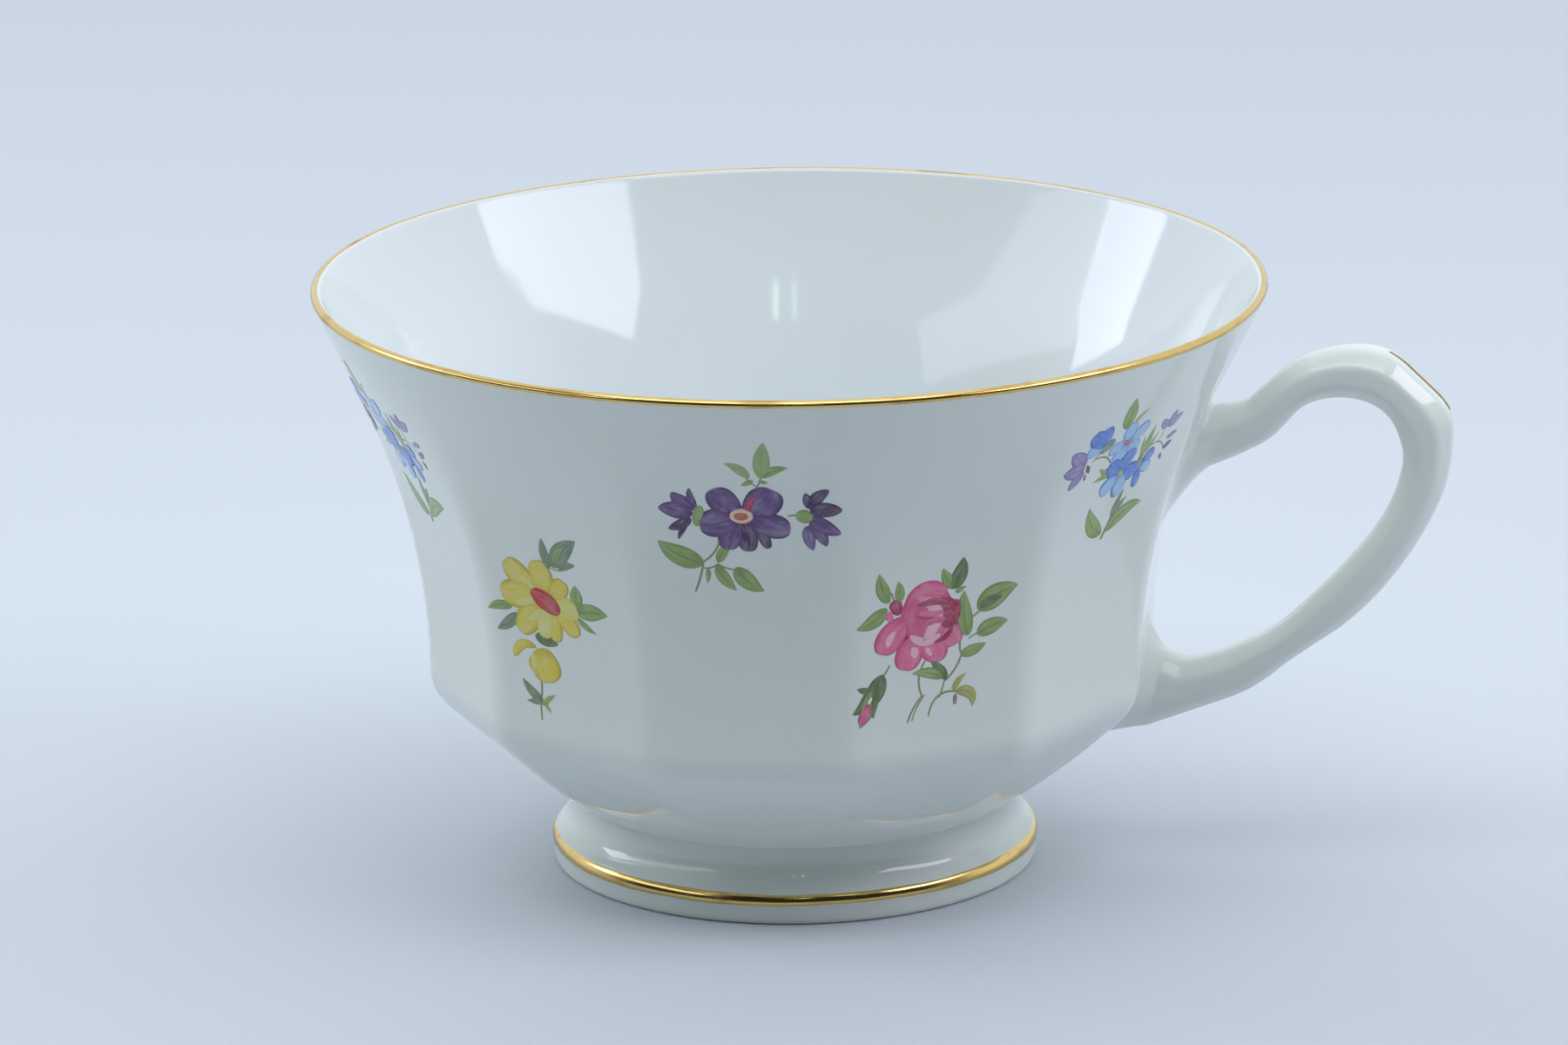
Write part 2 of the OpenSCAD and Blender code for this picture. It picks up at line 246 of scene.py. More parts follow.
class StageSizes(PropertyGroup):
    """The floor, the lights and the camera."""
    floor_colour: colour("Floor colour", "Paper under the cup", 211, 217, 226)
    room_colour: colour("Room colour", "The dim room in front of the cup", 40, 42, 41)
    back_colour: colour("Back colour", "The bright room behind the cup", 242, 251, 255)
    lens: FloatProperty(name="Lens", description="Focal length in millimetres", default=192.6, min=1.0,
                        unit="CAMERA")
    camera_place: FloatVectorProperty(name="Camera place", description="Where the camera stands",
                                      default=(0.10893, -0.87454, 0.28849), subtype="TRANSLATION",
                                      unit="LENGTH")


SETTINGS = {
    "teacup_bowl": BowlSizes,
    "teacup_foot": FootSizes,
    "teacup_handle": HandleSizes,
    "teacup_gilding": GildingSizes,
    "teacup_finish": Finishes,
    "teacup_stage": StageSizes,
}


# ---------------------------------------------------------------- shapes as rules

def mix(a, b, t):
    return a + (b - a) * t


def smooth(t):
    """An even step from 0 to 1."""
    c = np.clip(t, 0.0, 1.0)
    return c * c * (3 - 2 * c)


def wander(a, seed):
    """A slow, hand-painted wobble around a ring, from about -1 to 1."""
    return (0.5 * np.sin(3 * a + seed) + 0.3 * np.sin(8 * a + 2.3 * seed)
            + 0.2 * np.sin(19 * a + 4.1 * seed) + 0.12 * np.sin(47 * a + 7.7 * seed))


def polygon_radius(sides, rounding, a):
    """Radius of a rounded polygon whose rounded corners lie at radius 1."""
    step = TURN / sides
    off = np.abs(a - step * np.round(a / step))
    c = 1 - rounding
    flat = c * math.cos(step / 2) + rounding
    turn = math.atan(c * math.sin(step / 2) / flat)
    from_corner = step / 2 - off
    corner = c * np.cos(from_corner) + np.sqrt(np.maximum(rounding ** 2 - (c * np.sin(from_corner)) ** 2, 0))
    return np.where(off < turn, flat / np.cos(off), corner)


class Wall:
    """The bowl's outside and inside, worked out from its sizes."""

    def __init__(self):
        s = self.s = bpy.context.scene.teacup_bowl
        lean, slope = s.flare_lean, s.shoulder_lean
        self.shoulder = (s.waist_radius - s.shoulder_radius * (1 - math.cos(slope)),
                         s.waist_height - s.shoulder_radius * math.sin(slope))
        self.flare_end = (s.waist_radius + s.flare_radius * (1 - math.cos(lean)),
                          s.waist_height + s.flare_radius * math.sin(lean))
        self.lip_round = s.lip_thickness / 2
        self.lip_height = s.height - self.lip_round
        self.lip_start = self.lip_height - self.lip_round * math.sin(lean)
        self.lip_radius = float(self.corner(self.lip_start)) - self.lip_round * math.cos(lean)
        self.floor_height = s.base_height + s.floor_thickness
        self.curve_height = s.waist_height + 3 * MM
        self.inner_ease = 1.4
        self.under_flat_height = 15 * MM
        self.curve_power = 2.5

    def corner(self, z):
        """Radius of the corners at a height."""
        s = self.s
        z = np.asarray(z, float)
        sine = np.clip(math.sin(s.shoulder_lean) + (self.shoulder[1] - z) / s.under_radius, -1, 1)
        under = self.shoulder[0] - s.under_radius * (math.cos(s.shoulder_lean) - np.cos(np.arcsin(sine)))
        shoulder = (s.waist_radius - s.shoulder_radius
                    + np.sqrt(np.maximum(s.shoulder_radius ** 2 - (s.waist_height - z) ** 2, 0)))
        flare = (s.waist_radius + s.flare_radius
                 - np.sqrt(np.maximum(s.flare_radius ** 2 - (z - s.waist_height) ** 2, 0)))
        straight = self.flare_end[0] + (z - self.flare_end[1]) * math.tan(s.flare_lean)
        return np.select([z < self.shoulder[1], z < s.waist_height, z < self.flare_end[1]],
                         [under, shoulder, flare], straight)

    def flatness(self, z):
        """How flat the sides are at a height, from 0 for round to 1."""
        s = self.s
        z = np.asarray(z, float)
        return (smooth((s.round_height - z) / (s.round_height - s.flat_height))
                * smooth((z - s.base_height) / (self.under_flat_height - s.base_height)))

    def outside(self, a, z):
        press = 1 - polygon_radius(self.s.sides, self.s.corner_rounding, a)
        return self.corner(z) * (1 - self.flatness(z) * press)

    def inside(self, z):
        """Radius of the round inside, which starts from the middle of a side and thins towards the lip."""
        s = self.s
        rise = ((z - self.curve_height) / (self.lip_height - self.curve_height)) ** self.inner_ease
        thin = s.lip_thickness / math.cos(s.flare_lean)
        middle = float(polygon_radius(s.sides, s.corner_rounding, 0.0))
        return self.corner(z) * mix(middle, 1.0, rise) - mix(s.wall_thickness, thin, rise)

    def point(self, sideways, z, gap=0.0):
        """Points on the side that faces +X, lifted outwards by a gap."""
        sideways = np.asarray(sideways, float)
        x = self.corner(z)
        for _ in range(6):
            x = np.sqrt(self.outside(np.arctan2(sideways, x), z) ** 2 - sideways ** 2)
        return np.stack([x + gap, sideways, z + 0 * x], -1)


# ---------------------------------------------------------------- meshes

def skin(rings, start=None, end=None, loop=False):
    """Points and faces of a skin over rings of points, closed by end points or back to its first ring."""
    count, around = len(rings), len(rings[0])
    points = [tuple(p) for ring in rings for p in ring]
    faces = []
    for j in range(count if loop else count - 1):
        a, b = j * around, (j + 1) % count * around
        faces += [(a + i, a + (i + 1) % around, b + (i + 1) % around, b + i) for i in range(around)]
    for tip, row, flip in ((start, 0, True), (end, (count - 1) * around, False)):
        if tip is not None:
            points.append(tuple(tip))
            for i in range(around):
                pair = (row + i, row + (i + 1) % around)
                faces.append((*(pair[::-1] if flip else pair), len(points) - 1))
    return points, faces


def join(parts):
    """One list of points and one of faces from several closed shells."""
    points, faces = [], []
    for part_points, part_faces in parts:
        shift = len(points)
        points += part_points
        faces += [tuple(shift + i for i in face) for face in part_faces]
    return points, faces


def volume(points, faces):
    """Signed volume, positive where the faces point outwards."""
    p = np.asarray(points)
    total = 0.0
    for size in (3, 4):
        f = np.array([face for face in faces if len(face) == size], int)
        for k in range(1, size - 1):
            if len(f):
                total += np.einsum("ij,ij->", p[f[:, 0]], np.cross(p[f[:, k]], p[f[:, k + 1]]))
    return total / 6


def outwards(points, faces):
    """The faces of a closed shell, turned round where they point inwards."""
    return [face[::-1] for face in faces] if volume(points, faces) < 0 else faces


def make_object(name, points, faces, sharp=None):
    """A smooth object whose faces point outwards, with edges left sharp past an angle."""
    mesh = bpy.data.meshes.new(name)
    mesh.from_pydata(points, [], outwards(points, faces))
    mesh.validate()
    mesh.shade_smooth()
    if sharp is not None:
        mesh.set_sharp_from_angle(angle=math.radians(sharp))
    obj = bpy.data.objects.new(name, mesh)
    bpy.context.scene.collection.objects.link(obj)
    return obj


def store(obj, name, kind, values):
    """Keeps a value on each of an object's points."""
    layer = obj.data.attributes.new(name, kind, "POINT")
    field = {"FLOAT": "value", "FLOAT_VECTOR": "vector", "FLOAT_COLOR": "color"}[kind]
    layer.data.foreach_set(field, np.asarray(values, np.float32).ravel())


def turned(outline, around=256):
    """Rings of an outline of (radius, height) turned about the axis."""
    a = np.arange(around) * TURN / around
    outline = np.asarray(outline, float)
    return [np.stack([p[0] * np.cos(a), p[0] * np.sin(a), p[1] + 0 * a], -1) for p in outline]


def fillet(first, corner, last, steps):
    """Points that run from first to last, leaving and arriving along the lines to the corner."""
    first, corner, last = (np.asarray(p, float) for p in (first, corner, last))
    return [(1 - t) ** 2 * first + 2 * t * (1 - t) * corner + t * t * last for t in np.linspace(0, 1, steps)]


def crossing(a, a_way, b, b_way):
    """Where two lines in a plane cross."""
    s = np.linalg.solve(np.array([a_way, [-w for w in b_way]]).T, np.subtract(b, a))[0]
    return np.add(a, np.multiply(a_way, s))


def settle(obj, modifier):
    """Turns a modifier's result into the object's own mesh."""
    depsgraph = bpy.context.evaluated_depsgraph_get()
    mesh = bpy.data.meshes.new_from_object(obj.evaluated_get(depsgraph), preserve_all_data_layers=True,
                                           depsgraph=depsgraph)
    obj.modifiers.remove(modifier)
    old, obj.data = obj.data, mesh
    bpy.data.meshes.remove(old)
    if not len(mesh.polygons):
        raise RuntimeError(f"{obj.name} came out empty")


def finish_piece(obj, material, node, slot):
    """Gives a piece its finish and its place in the frame."""
    if not obj.data.materials:
        obj.data.materials.append(material)
    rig.ride(obj, BODY)
    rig.replaces(obj, node)
    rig.slot(obj, slot)


# ---------------------------------------------------------------- nodes

class Wire:
    """An output socket that adds a Math node for each operator used on it."""

    def __init__(self, graph, socket):
        self.graph, self.socket = graph, socket

    def maths(self, operation, *values):
        return self.graph.node("ShaderNodeMath", {"operation": operation}, dict(enumerate(values)))

    def __add__(self, other):
        return self.maths("ADD", self, other)

    def __radd__(self, other):
        return self.maths("ADD", other, self)

    def __sub__(self, other):
        return self.maths("SUBTRACT", self, other)

    def __rsub__(self, other):
        return self.maths("SUBTRACT", other, self)

    def __mul__(self, other):
        return self.maths("MULTIPLY", self, other)

    def __rmul__(self, other):
        return self.maths("MULTIPLY", other, self)

    def __truediv__(self, other):
        return self.maths("DIVIDE", self, other)

    def __rtruediv__(self, other):
        return self.maths("DIVIDE", other, self)

    def __pow__(self, other):
        return self.maths("POWER", self, other)

    def __lt__(self, other):
        return self.maths("LESS_THAN", self, other)

    def __abs__(self):
        return self.maths("ABSOLUTE", self)

    def __round__(self):
        return self.maths("ROUND", self)

    def function(self, operation, *values):
        """A Math node named by its operation, such as COSINE."""
        return self.maths(operation, self, *values)

    def step(self, low, high):
        """A smooth step from 0 at low to 1 at high."""
        return self.graph.node("ShaderNodeMapRange", {"interpolation_type": "SMOOTHSTEP"},
                               {"Value": self, "From Min": low, "From Max": high})


class Graph:
    """Adds nodes to a material's tree or a Geometry Nodes tree."""

    def __init__(self, tree):
        self.tree = tree

    def node(self, kind, settings=None, values=None, output=0):
        """Adds a node: its settings first, then its sockets' values or links."""
        node = self.tree.nodes.new(kind)
        for key, value in (settings or {}).items():
            setattr(node, key, value)
        for key, value in (values or {}).items():
            socket = node.inputs[key]
            if isinstance(value, Wire):
                self.tree.links.new(value.socket, socket)
            else:
                socket.default_value = value
        return Wire(self, node.outputs[output]) if node.outputs else None

    def split(self, vector):
        """The three parts of a vector."""
        first = self.node("ShaderNodeSeparateXYZ", None, {"Vector": vector})
        return [Wire(self, first.socket.node.outputs[i]) for i in range(3)]

    def vector(self, x, y, z):
        return self.node("ShaderNodeCombineXYZ", None, {"X": x, "Y": y, "Z": z})

    def vector_maths(self, operation, *values):
        return self.node("ShaderNodeVectorMath", {"operation": operation}, dict(enumerate(values)))

    def blend(self, factor, a, b):
        """A colour between two colours. Its colour sockets are the Mix node's seventh and eighth."""
        return self.node("ShaderNodeMix", {"data_type": "RGBA"}, {0: factor, 6: a, 7: b}, 2)

    def noise(self, vector, scale, detail=2.0, roughness=0.5):
        return self.node("ShaderNodeTexNoise", None, {"Vector": vector, "Scale": scale, "Detail": detail,
                                                      "Roughness": roughness})

    def attribute(self, name, output="Vector"):
        return self.node("ShaderNodeAttribute", {"attribute_name": name}, None, output)


def material(name, build):
    """A named material whose nodes are added by build, which returns the shader's sockets."""
    known = bpy.data.materials.get(name)
    if known:
        return known
    made = bpy.data.materials.new(name)
    made.use_nodes = True
    made.node_tree.nodes.clear()
    graph = Graph(made.node_tree)
    shader = graph.node("ShaderNodeBsdfPrincipled", None, build(graph))
    graph.node("ShaderNodeOutputMaterial", None, {"Surface": shader})
    return made


def solid(rgb):
    """A four-part colour from a colour property."""
    return (*rgb, 1.0)


def glaze(name, ripple_scale, pooling):
    """Glossy glaze over porcelain, with faint pooling, throwing rings and pinpoint specks."""
    look = bpy.context.scene.teacup_finish

    def build(g):
        place = g.node("ShaderNodeTexCoord", None, None, "Object")
        x, y, z = g.split(place)
        pool = g.noise(place, 38.0, 3.0, 0.55).step(0.35, 0.7)
        # Painted light: points marked as inside take the whiter, bluer inside colour, standing in for the light inside
        # the bowl.
        tint = g.blend(g.attribute("painted_inside_light", "Fac"), solid(look.glaze), solid(look.glaze_inside_painted_light))
        tint = g.blend(pool * pooling, tint, solid(look.glaze_deep))
        speck = g.node("ShaderNodeTexVoronoi", None, {"Vector": place, "Scale": 210.0})
        dark = (1 - speck.step(0.02, 0.05)) * g.noise(place, 90.0).step(0.62, 0.72) * 0.35
        tint = g.blend(dark, tint, fired(150, 138, 118))
        rings = (z * 1300.0 + g.noise(place, 60.0) * 3.0).function("SINE")
        swell = g.noise(place, ripple_scale, 2.0, 0.5) + rings * 0.03
        bump = g.node("ShaderNodeBump", None, {"Strength": 0.35, "Distance": 0.00006, "Height": swell})
        return {"Base Color": tint, "Roughness": 0.045 + g.noise(place, 150.0, 3.0) * 0.05, "IOR": 1.5,
                "Normal": bump}

    return material(name, build)


def porcelain():
    return glaze("glazed porcelain", 70.0, 0.4)


def slip():
    return glaze("glazed slip", 95.0, 1.0)


def gilding(shaded_stripe=False):
    """Burnished gold with brush marks, worn a little thin in places; on the thumb rest's stripe, darkened with painted
    shade and made rougher.
    """
    look = bpy.context.scene.teacup_gilding
    # On the stripe, the darker second colour and the extra share towards it are painted shade, and the extra roughness
    # is a duller finish; elsewhere the second colour is thin, worn gold.
    bright, worn_and_shaded_gold = (look.worn, look.shaded_stripe) if shaded_stripe else (look.bright, look.worn)
    dull = 0.25 if shaded_stripe else 0.0

    def build(g):
        place = g.node("ShaderNodeTexCoord", None, None, "Object")
        x, y, z = g.split(place)
        around = y.function("ARCTAN2", x)
        brush = g.noise(g.vector(around * 0.4, z * 90.0, 0.0), 14.0, 4.0, 0.6)
        patch = g.noise(place, 160.0, 3.0, 0.6)
        worn = (patch * 0.6 + brush * 0.4).step(0.5, 0.68)
        gold = g.blend(worn * 0.75 + dull, solid(bright), solid(worn_and_shaded_gold))
        bump = g.node("ShaderNodeBump", None, {"Strength": 0.35, "Distance": 0.00002,
                                               "Height": brush * 0.7 + g.noise(place, 1500.0, 2.0) * 0.5})
        return {"Base Color": gold, "Metallic": 1.0, "Roughness": 0.13 + dull + worn * 0.14 + brush * 0.06,
                "Normal": bump}

    return material("rubbed gold" if shaded_stripe else "burnished gold", build)


def enamel():
    """Fired enamel that reads each brush stroke's two paints and its place along and across the stroke."""
    def build(g):
        across, along, seed = g.split(g.attribute("stroke"))
        edge, vein, root = g.split(g.attribute("brush"))
        body, rim = g.attribute("body_paint", "Color"), g.attribute("edge_paint", "Color")
        off = abs(across)
        fine = g.noise(g.vector(across * 2.6 + seed * 37.0, along * 0.9, seed * 11.0), 2.2, 3.0, 0.6)
        loose = g.noise(g.vector(across * 1.1, along * 1.6, seed * 53.0), 1.4, 2.0)
        shore = (off + (fine - 0.5) * 0.45 + (along - 0.5) * 0.12).step(0.52, 0.98) * edge
        low = (1 - (along + (fine - 0.5) * 0.35).step(0.05, 0.42)) * root
        line = (1 - off.step(0.03, 0.14)) * (1 - along.step(0.75, 0.95)) * vein
        shade = 1 - (1 - shore) * (1 - low) * (1 - line)
        paint = g.blend(shade, body, rim)
        light = (loose * 0.6 + fine * 0.5).step(0.42, 0.75) * 0.2 * (1 - shade)
        paint = g.blend(light, paint, fired(236, 240, 240))
        soft = (1 - (off + (fine - 0.5) * 0.1).step(0.86, 1.0)) * (1 - (along.step(0.93, 1.0)) * 0.7)
        return {"Base Color": paint, "Roughness": 0.16 + fine * 0.14, "IOR": 1.5,
                "Alpha": 0.12 + soft * 0.88}

    return material("fired enamel", build)


# ---------------------------------------------------------------- Geometry Nodes trees

def geometry_tree(name, inputs):
    """A Geometry Nodes tree with named inputs, and the graph, its inputs and its output node."""
    tree = bpy.data.node_groups.new(name, "GeometryNodeTree")
    tree.interface.new_socket("Geometry", in_out="INPUT", socket_type="NodeSocketGeometry")
    for label, kind in inputs.items():
        tree.interface.new_socket(label, in_out="INPUT", socket_type="NodeSocket" + kind)
    tree.interface.new_socket("Geometry", in_out="OUTPUT", socket_type="NodeSocketGeometry")
    graph = Graph(tree)
    source = tree.nodes.new("NodeGroupInput")
    return graph, {socket.name: Wire(graph, socket) for socket in source.outputs if socket.name}


def close_tree(graph, geometry, paint):
    """Ends a tree in Realize Instances and Set Material."""
    real = graph.node("GeometryNodeRealizeInstances", None, {"Geometry": geometry})
    dressed = graph.node("GeometryNodeSetMaterial", None, {"Geometry": real, "Material": paint})
    graph.node("NodeGroupOutput", None, {"Geometry": dressed})


def press_tree():
    """Presses flat sides into a round bowl, as far as each point's flatness says."""
    known = bpy.data.node_groups.get("Press the flat sides")
    if known:
        return known
    g, given = geometry_tree("Press the flat sides", {"Sides": "Int", "Corner rounding": "Float",
                                                      "Material": "Material"})
    x, y, z = g.split(g.node("GeometryNodeInputPosition"))
    flatness = g.node("GeometryNodeInputNamedAttribute", {"data_type": "FLOAT"}, {"Name": "flatness"})
    rounding = given["Corner rounding"]
    step = TURN / given["Sides"]
    turn_angle = y.function("ARCTAN2", x)
    off = abs(turn_angle - step * round(turn_angle / step))
    core = 1 - rounding
    flat = core * (step / 2).function("COSINE") + rounding
    limit = (core * (step / 2).function("SINE") / flat).function("ARCTANGENT")
    from_corner = step / 2 - off
    reach = (rounding * rounding - (core * from_corner.function("SINE")) ** 2).function("MAXIMUM", 0.0)
    corner = core * from_corner.function("COSINE") + reach.function("SQRT")
    side = flat / off.function("COSINE")
    on_side = off < limit
    radius = on_side * side + (1 - on_side) * corner
    share = 1 - flatness * (1 - radius)
    moved = g.node("GeometryNodeSetPosition", None, {"Geometry": given["Geometry"],
                                                     "Position": g.vector(x * share, y * share, z)})
    close_tree(g, moved, given["Material"])
    return g.tree


def lay_tree():
    """Lays a flat spray on the bowl's wall. X is its height above the wall, Y is sideways and Z is up."""
    known = bpy.data.node_groups.get("Lay on the wall")
    if known:
        return known
    g, given = geometry_tree("Lay on the wall", {"Bowl": "Object", "Side": "Float", "Material": "Material"})
    lift, sideways, up = g.split(g.node("GeometryNodeInputPosition"))
    bowl = g.node("GeometryNodeObjectInfo", None, {"Object": given["Bowl"]}, "Geometry")
    cast = g.node("GeometryNodeRaycast", None, {
        "Target Geometry": bowl, "Source Position": g.vector(0.09, sideways, up),
        "Ray Direction": (-1.0, 0.0, 0.0), "Ray Length": 0.08}, "Hit Position")
    normal = Wire(g, cast.socket.node.outputs["Hit Normal"])
    away = g.node("ShaderNodeVectorMath", {"operation": "SCALE"}, {0: normal, "Scale": lift})
    moved = g.node("GeometryNodeSetPosition", None, {
        "Geometry": given["Geometry"], "Position": g.vector_maths("ADD", cast, away)})
    turned_round = g.node("GeometryNodeTransform", None, {
        "Geometry": moved, "Rotation": g.vector(0.0, 0.0, given["Side"])})
    close_tree(g, turned_round, given["Material"])
    return g.tree


def apply_tree(obj, tree, values):
    """Runs a tree on an object with its named inputs set, and keeps the result as its mesh."""
    modifier = obj.modifiers.new(tree.name, "NODES")
    modifier.node_group = tree
    sockets = {item.name: item.identifier for item in tree.interface.items_tree if item.in_out == "INPUT"}
    for label, value in values.items():
        modifier[sockets[label]] = value
    settle(obj, modifier)


# ---------------------------------------------------------------- the bowl

class TEACUP_OT_bowl(Operator):
    """Make the flared bowl: turn it round, then press its flat sides in"""
    bl_idname = "teacup.bowl"
    bl_label = "Bowl"

    def execute(self, context):
        wall = Wall()
        s = wall.s
        base = [(float(wall.corner(s.base_height)) * k, s.base_height, 0.0) for k in (0.35, 0.7, 0.93, 0.99)]
        under = np.linspace(s.base_height, wall.shoulder[1], 34)
        tilt = np.linspace(s.shoulder_lean, 0, 22)[1:]
        shoulder = s.waist_height - s.shoulder_radius * np.sin(tilt)
        flare = np.linspace(s.waist_height, wall.lip_start, 92)[1:-1]
        outside = [(float(wall.corner(z)), z, float(wall.flatness(z))) for z in (*under, *shoulder, *flare)]
        lip = [(wall.lip_radius + wall.lip_round * math.cos(a),
                wall.lip_height + wall.lip_round * math.sin(a), 0.0)
               for a in np.linspace(-s.flare_lean, math.pi - s.flare_lean, 15)]
        inside = [(float(wall.inside(z)), z, 0.0)
                  for z in np.linspace(lip[-1][1], wall.curve_height, 44)[1:]]
        outer_count = len(base) + len(outside) + len(lip) // 2
        deep, power = wall.curve_height - wall.floor_height, 2 / wall.curve_power
        well = [(inside[-1][0] * math.cos(a) ** power, wall.curve_height - deep * math.sin(a) ** power, 0.0)
                for a in np.linspace(0, math.pi / 2, 38)[1:-1]]
        profile = np.array(base + outside + lip + inside + well)
        angles = self.angles(s.sides)
        rings = [np.stack([r * np.cos(angles), r * np.sin(angles), z + 0 * angles], -1)
                 for r, z, _ in profile]
        points, faces = skin(rings, (0, 0, s.base_height), (0, 0, wall.floor_height))
        bowl = make_object("bowl_porcelain", points, faces)
        flatness = np.append(np.repeat(profile[:, 2], len(angles)), (0.0, 0.0))
        store(bowl, "flatness", "FLOAT", flatness)
        # Marks the inside points, which take the painted light of the inside colour.
        inner = np.repeat(np.arange(len(profile)) >= outer_count, len(angles))
        store(bowl, "painted_inside_light", "FLOAT", np.append(inner, (0.0, 1.0)))
        apply_tree(bowl, press_tree(), {"Sides": s.sides, "Corner rounding": s.corner_rounding,
                                        "Material": porcelain()})
        bowl.data.set_sharp_from_angle(angle=math.radians(38))
        finish_piece(bowl, porcelain(), "bowl", "porcelain")
        return {"FINISHED"}

    @staticmethod
    def angles(sides):
        """Angles round the bowl, closer together at the corners."""
        half = math.pi / sides
        near = math.radians(3.5)
        close = np.linspace(-near, near, 15)[:-1]
        wide = np.linspace(near, 2 * half - near, 11)[:-1]
        return np.concatenate([half + k * 2 * half + np.concatenate([close, wide]) for k in range(sides)])


# ---------------------------------------------------------------- the foot

class Foot:
    """The foot's curves, worked out from its sizes."""

    def __init__(self):
        s = self.s = bpy.context.scene.teacup_foot
        out, rise = s.flange_radius - s.waist_radius, s.waist_height - s.flange_height
        self.cove_radius = (out ** 2 + rise ** 2 - s.flange_rounding ** 2) / (2 * (s.flange_rounding + out))
        self.cove = np.array([s.waist_radius + self.cove_radius, s.waist_height])
        self.flange = np.array([s.flange_radius, s.flange_height])
        self.slope = math.atan2(rise, self.cove_radius - out)
        self.low = -math.radians(18)
        self.top = Wall().s.base_height - 0.3 * MM

    def cove_point(self, a):
        return self.cove + self.cove_radius * np.array([-math.cos(a), math.sin(a)])

    def flange_point(self, a, lift=0.0):
        return self.flange + (self.s.flange_rounding + lift) * np.array([math.cos(a), math.sin(a)])


class TEACUP_OT_foot(Operator):
    """Make the turned foot and the smoothed slip that joins it to the bowl"""
    bl_idname = "teacup.foot"
    bl_label = "Foot"

    def execute(self, context):
        foot, wall = Foot(), Wall()
        s = foot.s
        top_angle = math.asin((foot.top - s.waist_height) / foot.cove_radius)
        cove = [foot.cove_point(a) for a in np.linspace(top_angle, -foot.slope, 26)]
        flange = [foot.flange_point(a) for a in np.linspace(foot.slope, foot.low, 26)[1:]]
        edge = flange[-1][0]
        heel_round = 0.75 * MM
        heel = [(edge, 1.4 * MM),
                *fillet((edge, heel_round), (edge, 0.0), (edge - heel_round, 0.0), 10)]
        inner = s.inner_radius
        recess = [*fillet((inner + 1.3 * MM, 0), (inner + 0.3 * MM, 0), (inner, 2.2 * MM), 9),
                  (inner, foot.top)]
        outline = [*cove, *flange, *heel, *recess]
        points, faces = skin(turned(outline), loop=True)
        finish_piece(make_object("foot_porcelain", points, faces, 38), porcelain(), "foot", "porcelain")

        start_angle, end_height = math.radians(20), s.waist_height + 3.0 * MM
        start = foot.cove_point(start_angle)
        buried = (s.inner_radius + 1.5 * MM, foot.top)
        rings, around, climb = [], 288, 0.1 * MM
        for a in np.arange(around) * TURN / around:
            end = (float(wall.outside(a, end_height)) - SUNK, end_height)
            rise = float(wall.outside(a, end_height + climb)) - end[0]
            corner = crossing(start, (math.sin(start_angle), math.cos(start_angle)), end, (-rise, -climb))
            rings.append([(r * math.cos(a), r * math.sin(a), z)
                          for r, z in (*fillet(start, corner, end, 20), buried)])
        points, faces = skin(rings, loop=True)
        joint = make_object("foot_slip_joint_fillet", points, faces, 38)
        finish_piece(joint, slip(), "foot_slip_joint", "slip")
        return {"FINISHED"}


# ---------------------------------------------------------------- the handle

# Stations of the handle, in millimetres: out from the bowl's waist and height of its outer edge, the same
# of its inner edge, and its width
HANDLE = np.array([
    (8, 52, 6, 45.2, 7.2), (9.8, 52.5, 9.6, 46.8, 6.8), (11.3, 53.8, 12.6, 48.6, 6.6),
    (14.3, 56.4, 15.5, 51.7, 6.6), (17, 57.9, 17.8, 52.8, 6.6), (21, 58.7, 20.6, 53.1, 6.8),
    (25, 58.1, 23.2, 52.5, 7), (28.5, 55.3, 25.2, 50.9, 7), (31.6, 51.8, 26.3, 48.5, 7),
    (32, 48, 26.6, 46.6, 6.8), (31.4, 43.9, 26.3, 44.6, 6.6), (30, 40.2, 25.4, 41.7, 6.4),
    (27.6, 35.9, 23.5, 38.3, 6.4), (24.3, 31.4, 20.5, 34.5, 6.4), (20.7, 27.8, 17.6, 31.4, 6.4),
    (17.4, 25.4, 14.7, 28.5, 6.4), (14.4, 23.2, 12.1, 26.5, 6.4), (11.7, 21, 9.6, 25.2, 6.5),
    (9, 19.4, 7.3, 24.2, 6.6), (5.4, 18, 5, 23.5, 6.8), (2, 16.7, 3, 23.3, 7), (-1.2, 15.5, 1, 24.1, 7.4),
]) * MM


